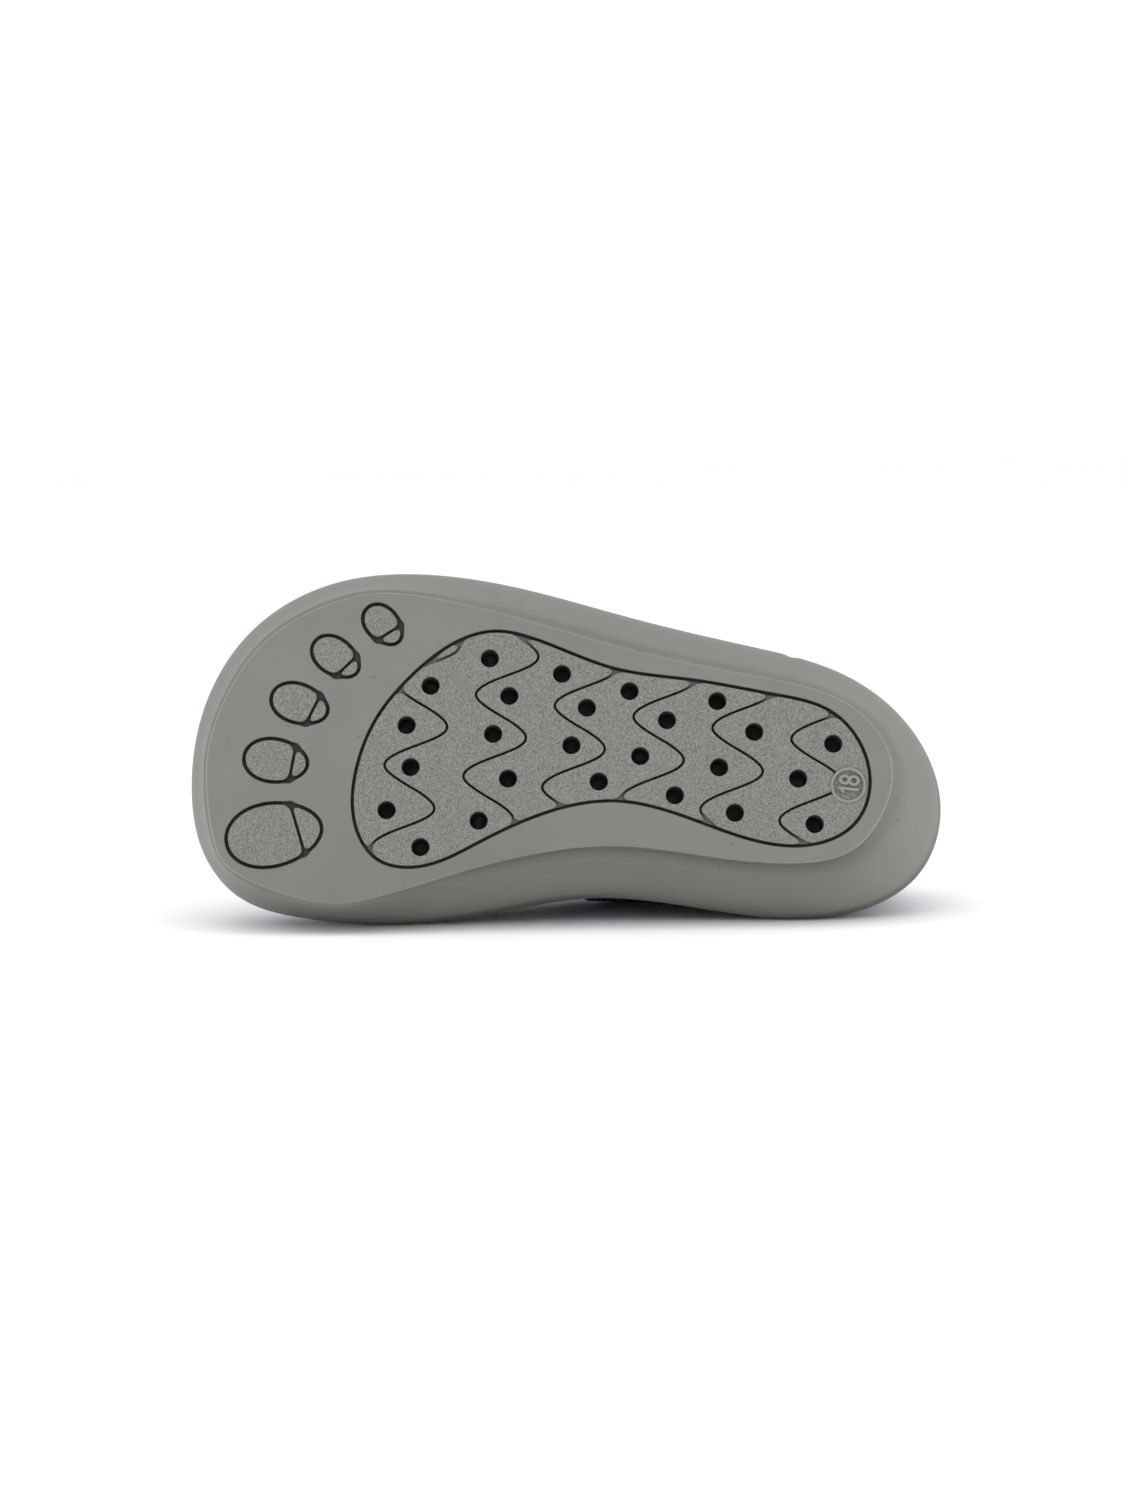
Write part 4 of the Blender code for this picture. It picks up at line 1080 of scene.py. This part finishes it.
def dress_tread(tread, grooves, settings, grime):
    """Gives the faces of the tread their rubber: sanded pads, shade painted into shallow cuts, darker shade
    into deep ones.
    """
    middles = np.array([face.calc_center_median()[:2] for face in tread])
    sanded = np.zeros(len(tread), bool)
    for ring in grooves["pad"].lines + grooves["toe"].lines:
        sanded |= inside(middles, ring[::4])
    cut = tread_relief(middles, grooves, settings)
    # Shade is painted into shallow cuts outside the mark, and darker shade into deep cuts and holes
    shaded_shallow = (cut > SHALLOW_CUT) & (np.linalg.norm(middles - (MARK_X, MARK_Y), axis=1) > MARK_RADIUS)
    rubbers = np.where(cut > DEEP_CUT, SHADED_DEEP, np.where(sanded & ~shaded_shallow, SANDED, SMOOTH))
    shading = np.where(shaded_shallow & (cut <= DEEP_CUT), 1, ball_shading(middles))
    for face, rubber, darkened in zip(tread, rubbers, shading):
        face.material_index = int(rubber)
        for vert in face.verts:
            vert[grime] = max(vert[grime], darkened)


class BABYSHOE_OT_sole(bpy.types.Operator):
    """Moulded cup sole with its tread pattern"""

    bl_idname = "babyshoe.sole"
    bl_label = "Sole"

    def execute(self, context):
        settings = context.scene.baby_shoe.sole
        way = np.arange(AROUND + 1) / AROUND
        controls = np.array([side_ring(way, row) for row in SIDE] + [cup_ring(way, 0)])
        side = rounded_rows(controls, SIDE_STEPS)
        nick_side(side, way)
        mesh = bmesh.new()
        mesh.loops.layers.uv.verify()
        # How much shade is painted on each point of the sole
        grime = mesh.verts.layers.float.new("grime")
        lay_grid(mesh, side)
        dress_side(mesh, side, way, grime)
        grooves = groove_plan(settings.groove_width / MM)
        edge, bed = side[0, :-1], side[-1, :-1]
        tread = plan_fill(
            mesh,
            edge,
            tread_lines(grooves, settings),
            tread_spots(edge, grooves),
            lambda points: tread_z(points[:, 0]) + tread_relief(points, grooves, settings),
        )
        plan_fill(mesh, bed, [], grid_spots(bed, 8), lambda points: bed_z(points[:, 0]))
        dress_tread(tread, grooves, settings, grime)
        close(mesh)
        rubbers = [
            smooth_rubber("smooth moulded rubber", settings.rubber_dark, settings.rubber, settings),
            sanded_rubber(settings),
            # Dark rubber painted as the shade at the bottom of deep cuts and holes
            smooth_rubber("rubber with dust in its cuts", settings.cut_shade, settings.rubber_pit, settings),
            # Pale rubber painted as the highlight on the tread's edge and the size mark
            smooth_rubber("rubber rubbed pale", settings.rubber, settings.worn, settings),
        ]
        finish(mesh, "moulded_sole", rubbers, "sole")
        return {"FINISHED"}


def size_digits(context):
    """The size number as a flat mesh, with a flag on its 1."""
    digits = bpy.data.curves.new("size digits", "FONT")
    digits.body = "18"
    digits.extrude = 0.08
    digits.bevel_depth = 0.025
    digits.bevel_resolution = 2
    digits.space_character = 0.75
    digits.offset = -0.012
    text = bpy.data.objects.new("size digits", digits)
    context.scene.collection.objects.link(text)
    data = bpy.data.meshes.new_from_object(text.evaluated_get(context.evaluated_depsgraph_get()))
    bpy.data.objects.remove(text)
    mesh = bmesh.new()
    mesh.from_mesh(data)
    bpy.data.meshes.remove(data)
    bmesh.ops.remove_doubles(mesh, verts=mesh.verts, dist=1e-5)
    bmesh.ops.recalc_face_normals(mesh, faces=mesh.faces)
    flag = Matrix.Translation((0.165, 0.56, 0)) @ Matrix.Rotation(math.radians(45), 4, "Z")
    bmesh.ops.create_cube(mesh, size=1, matrix=flag @ Matrix.Diagonal((0.26, 0.09, 0.2, 1)))
    return mesh


class BABYSHOE_OT_size_mark(bpy.types.Operator):
    """Raised ring and size number in the tread"""

    bl_idname = "babyshoe.size_mark"
    bl_label = "Size mark"

    def execute(self, context):
        settings = context.scene.baby_shoe.sole
        mesh = size_digits(context)
        points = np.array([vert.co for vert in mesh.verts])
        low, high = points.min(axis=0), points.max(axis=0)
        size = settings.digit_height / MM / (high[1] - low[1])
        level = float(tread_z(MARK_X))
        height = level + (high[2] - low[2]) * size / 2 - DIGITS_SINK
        middle = Matrix.Translation((MARK_X + DIGITS_X, MARK_Y + DIGITS_Y, height))
        askew = middle @ Matrix.Rotation(DIGITS_ASKEW, 4, "Z")
        narrow = Matrix.Diagonal((size, DIGITS_NARROW * size, size, 1))
        facing = Matrix(((0, 1, 0), (1, 0, 0), (0, 0, -1))).to_4x4()
        centre = Matrix.Translation(-Vector((low + high) / 2))
        bmesh.ops.transform(mesh, matrix=askew @ narrow @ facing @ centre, verts=mesh.verts)
        bead_at = (MARK_X + MARK_RADIUS - MARK_RING / 2, MARK_Y, level + MARK_RING_RISE)
        upright = Matrix.Translation(bead_at) @ Matrix.Rotation(math.radians(90), 4, "X")
        bead = bmesh.ops.create_circle(mesh, segments=12, radius=MARK_RING / 2, matrix=upright)["verts"]
        outline = {edge for vert in bead for edge in vert.link_edges}
        bmesh.ops.spin(
            mesh,
            geom=[*bead, *outline],
            cent=(MARK_X, MARK_Y, 0),
            axis=(0, 0, 1),
            angle=math.tau,
            steps=64,
            use_merge=True,
        )
        bmesh.ops.recalc_face_normals(mesh, faces=mesh.faces)
        # The size mark is painted pale as a highlight
        piece = finish(mesh, "size_mark", [bpy.data.materials["rubber rubbed pale"]])
        return {"FINISHED"}


class BABYSHOE_OT_upper(bpy.types.Operator):
    """Lasted leather shell with its knitted lining"""

    bl_idname = "babyshoe.upper"
    bl_label = "Upper"

    def execute(self, context):
        settings = context.scene.baby_shoe.upper
        way = upper_columns()
        outside = np.array([upper_outside(way, level) for level in OUTER_LEVELS])
        lined = np.array([upper_inside(way, level) for level in INNER_LEVELS])
        middle = (outside[-1] + lined[0]) / 2
        across = outside[-1] - middle
        rise = unit(outside[-1] - outside[-4]) * np.linalg.norm(across, axis=1, keepdims=True)
        turns = np.linspace(0, np.pi, 12)[1:-1]
        lip = np.array([middle + across * math.cos(t) + rise * 0.9 * math.sin(t) for t in turns])
        rows = np.concatenate([outside, lip, lined, outside[:1]])
        mesh = bmesh.new()
        layer = mesh.loops.layers.uv.verify()
        lay_grid(mesh, rows)
        half_over_lip = (len(outside) + 6) / (len(rows) - 1)
        for face in mesh.faces:
            face.material_index = int(max(loop[layer].uv.y for loop in face.loops) > half_over_lip)
        scale_uv(mesh, UPPER_ROUND, UPPER_OVER)
        close(mesh)
        lining = knit("knitted lining", settings.lining_dark, settings.lining, stitch=0.9, depth=0.25)
        finish(mesh, "lasted_upper", [dyed_leather(settings), lining], "upper")
        return {"FINISHED"}


class BABYSHOE_OT_insole(bpy.types.Operator):
    """Soft footbed with a rounded edge"""

    bl_idname = "babyshoe.insole"
    bl_label = "Insole"

    def execute(self, context):
        settings = context.scene.baby_shoe.upper
        way = np.arange(INSOLE_AROUND + 1) / INSOLE_AROUND
        outline = cup_ring(way, WALL * 1.25 + 3 * GAP)[:, :2]
        rows = []
        for share, height in INSOLE_ROWS:
            plan = INSOLE_MIDDLE + (outline - INSOLE_MIDDLE) * share
            rows.append(with_height(plan, bed_z(plan[:, 0]) + GAP + INSOLE_THICK * height))
        mesh = bmesh.new()
        layer = mesh.loops.layers.uv.verify()
        lay_grid(mesh, np.array(rows))
        for face in mesh.faces:
            for loop in face.loops:
                loop[layer].uv = loop.vert.co.xy
        close(mesh)
        dark, light = settings.footbed_dark, settings.footbed
        cloth = knit("knitted footbed cloth", dark, light, stitch=0.7, depth=0.2)
        finish(mesh, "footbed", [cloth], "insole")
        return {"FINISHED"}


class BABYSHOE_OT_tongue(bpy.types.Operator):
    """Padded tongue under the throat"""

    bl_idname = "babyshoe.tongue"
    bl_label = "Tongue"

    def execute(self, context):
        settings = context.scene.baby_shoe.upper
        over, thick = tongue_grid()
        mesh = slab(over - grid_normals(over) * thick[:, None, None], over)
        scale_uv(mesh, TONGUE_WIDE, TONGUE_LONG)
        cloth = knit("padded knit", settings.leather_dark, settings.leather, stitch=0.8, depth=0.25)
        piece = finish(mesh, "padded_tongue", [cloth], "tongue")
        add_smoothing(piece, 3)
        return {"FINISHED"}


class BABYSHOE_OT_strap(bpy.types.Operator):
    """Leather strap over the instep"""

    bl_idname = "babyshoe.strap"
    bl_label = "Strap"

    def execute(self, context):
        settings = context.scene.baby_shoe.upper
        grid = strap_grid()
        normals = grid_normals(grid)
        mesh = slab(grid + normals * STRAP_GAP, grid + normals * (STRAP_GAP + STRAP_THICK))
        piece = finish(mesh, "instep_strap", [dyed_leather(settings)], "strap")
        add_smoothing(piece, 3)
        return {"FINISHED"}


class BABYSHOE_OT_stitches(bpy.types.Operator):
    """Rows of stitches along the collar, the seams, the strap and the tongue"""

    bl_idname = "babyshoe.stitches"
    bl_label = "Stitches"

    def execute(self, context):
        settings = context.scene.baby_shoe.upper
        mesh = bmesh.new()
        for name, path in stitch_paths():
            sew(mesh, bpy.data.objects[name], path, settings)
        piece = finish(mesh, "stitches", [spun_thread(settings)], laid=True)
        return {"FINISHED"}


def spread_paper(context, settings):
    """The floor: a wide sheet of paper."""
    mesh = bmesh.new()
    bmesh.ops.create_grid(mesh, x_segments=1, y_segments=1, size=4)
    data = bpy.data.meshes.new("floor")
    mesh.to_mesh(data)
    mesh.free()
    data.materials.append(white_paper(settings))
    floor = bpy.data.objects.new("floor", data)
    context.scene.collection.objects.link(floor)
    return floor


def light_studio(context, settings, floor, middle):
    """White light from all round, and soft lights, one of them for the floor alone."""
    world = bpy.data.worlds.new("white studio")
    world.use_nodes = True
    sky = world.node_tree.nodes["Background"]
    feed(world.node_tree, sky, {"Color": (1, 1, 1, 1), "Strength": settings.sky})
    context.scene.world = world
    floor_only = bpy.data.collections.new("floor only")
    floor_only.objects.link(floor)
    for box in SOFTBOXES:
        light = bpy.data.lights.new(box.name, "AREA")
        light.size = box.size
        light.energy = settings.softbox * box.share
        lamp = bpy.data.objects.new(box.name, light)
        context.scene.collection.objects.link(lamp)
        lamp.location = box.place
        lamp.rotation_euler = (middle - lamp.location).to_track_quat("-Z", "Y").to_euler()
        if box.floor_only:
            lamp.light_linking.receiver_collection = floor_only


def set_camera(context, settings, middle):
    """A long lens, a little above the sole and looking down at it."""
    camera = bpy.data.cameras.new("camera")
    camera.lens = settings.lens
    camera.sensor_width = 36
    camera.clip_end = 10
    holder = bpy.data.objects.new("camera", camera)
    context.scene.collection.objects.link(holder)
    look = Vector((0, math.cos(CAMERA_DOWN), -math.sin(CAMERA_DOWN)))
    level = look.to_track_quat("-Z", "Y").to_matrix().to_4x4()
    roll = Matrix.Rotation(CAMERA_ROLL, 4, "Z")
    holder.matrix_world = Matrix.Translation(middle - look * settings.distance) @ level @ roll
    context.scene.camera = holder


class BABYSHOE_OT_stage(bpy.types.Operator):
    """Pale floor, soft studio light and the camera"""

    bl_idname = "babyshoe.stage"
    bl_label = "Stage"

    def execute(self, context):
        settings = context.scene.baby_shoe.stage
        middle = lying() @ Vector(SOLE_MIDDLE)
        floor = spread_paper(context, settings)
        light_studio(context, settings, floor, middle)
        set_camera(context, settings, middle)
        context.scene.view_settings.view_transform = "Standard"
        return {"FINISHED"}


class BABYSHOE_PT_panel(bpy.types.Panel):
    """Lists the pieces of the shoe"""

    bl_idname = "BABYSHOE_PT_panel"
    bl_label = "Baby Sneaker"
    bl_space_type = "VIEW_3D"
    bl_region_type = "UI"
    bl_category = "Baby Sneaker"

    def draw(self, context):
        settings = context.scene.baby_shoe
        for group in (settings.sole, settings.upper, settings.stage):
            for name in group.__annotations__:
                self.layout.prop(group, name)
        for operator in OPERATORS:
            self.layout.operator(operator.bl_idname)


OPERATORS = (
    BABYSHOE_OT_sole,
    BABYSHOE_OT_size_mark,
    BABYSHOE_OT_upper,
    BABYSHOE_OT_insole,
    BABYSHOE_OT_tongue,
    BABYSHOE_OT_strap,
    BABYSHOE_OT_stitches,
    BABYSHOE_OT_stage,
)
CLASSES = (
    SoleSettings,
    UpperSettings,
    StageSettings,
    ShoeSettings,
    *OPERATORS,
    BABYSHOE_PT_panel,
)


def register():
    for made in CLASSES:
        bpy.utils.register_class(made)
    bpy.types.Scene.baby_shoe = PointerProperty(type=ShoeSettings)


def unregister():
    del bpy.types.Scene.baby_shoe
    for made in reversed(CLASSES):
        bpy.utils.unregister_class(made)


def main():
    register()
    bpy.ops.babyshoe.sole()
    bpy.ops.babyshoe.size_mark()
    bpy.ops.babyshoe.upper()
    bpy.ops.babyshoe.insole()
    bpy.ops.babyshoe.tongue()
    bpy.ops.babyshoe.strap()
    bpy.ops.babyshoe.stitches()
    bpy.ops.babyshoe.stage()


if __name__ == "__main__":
    main()
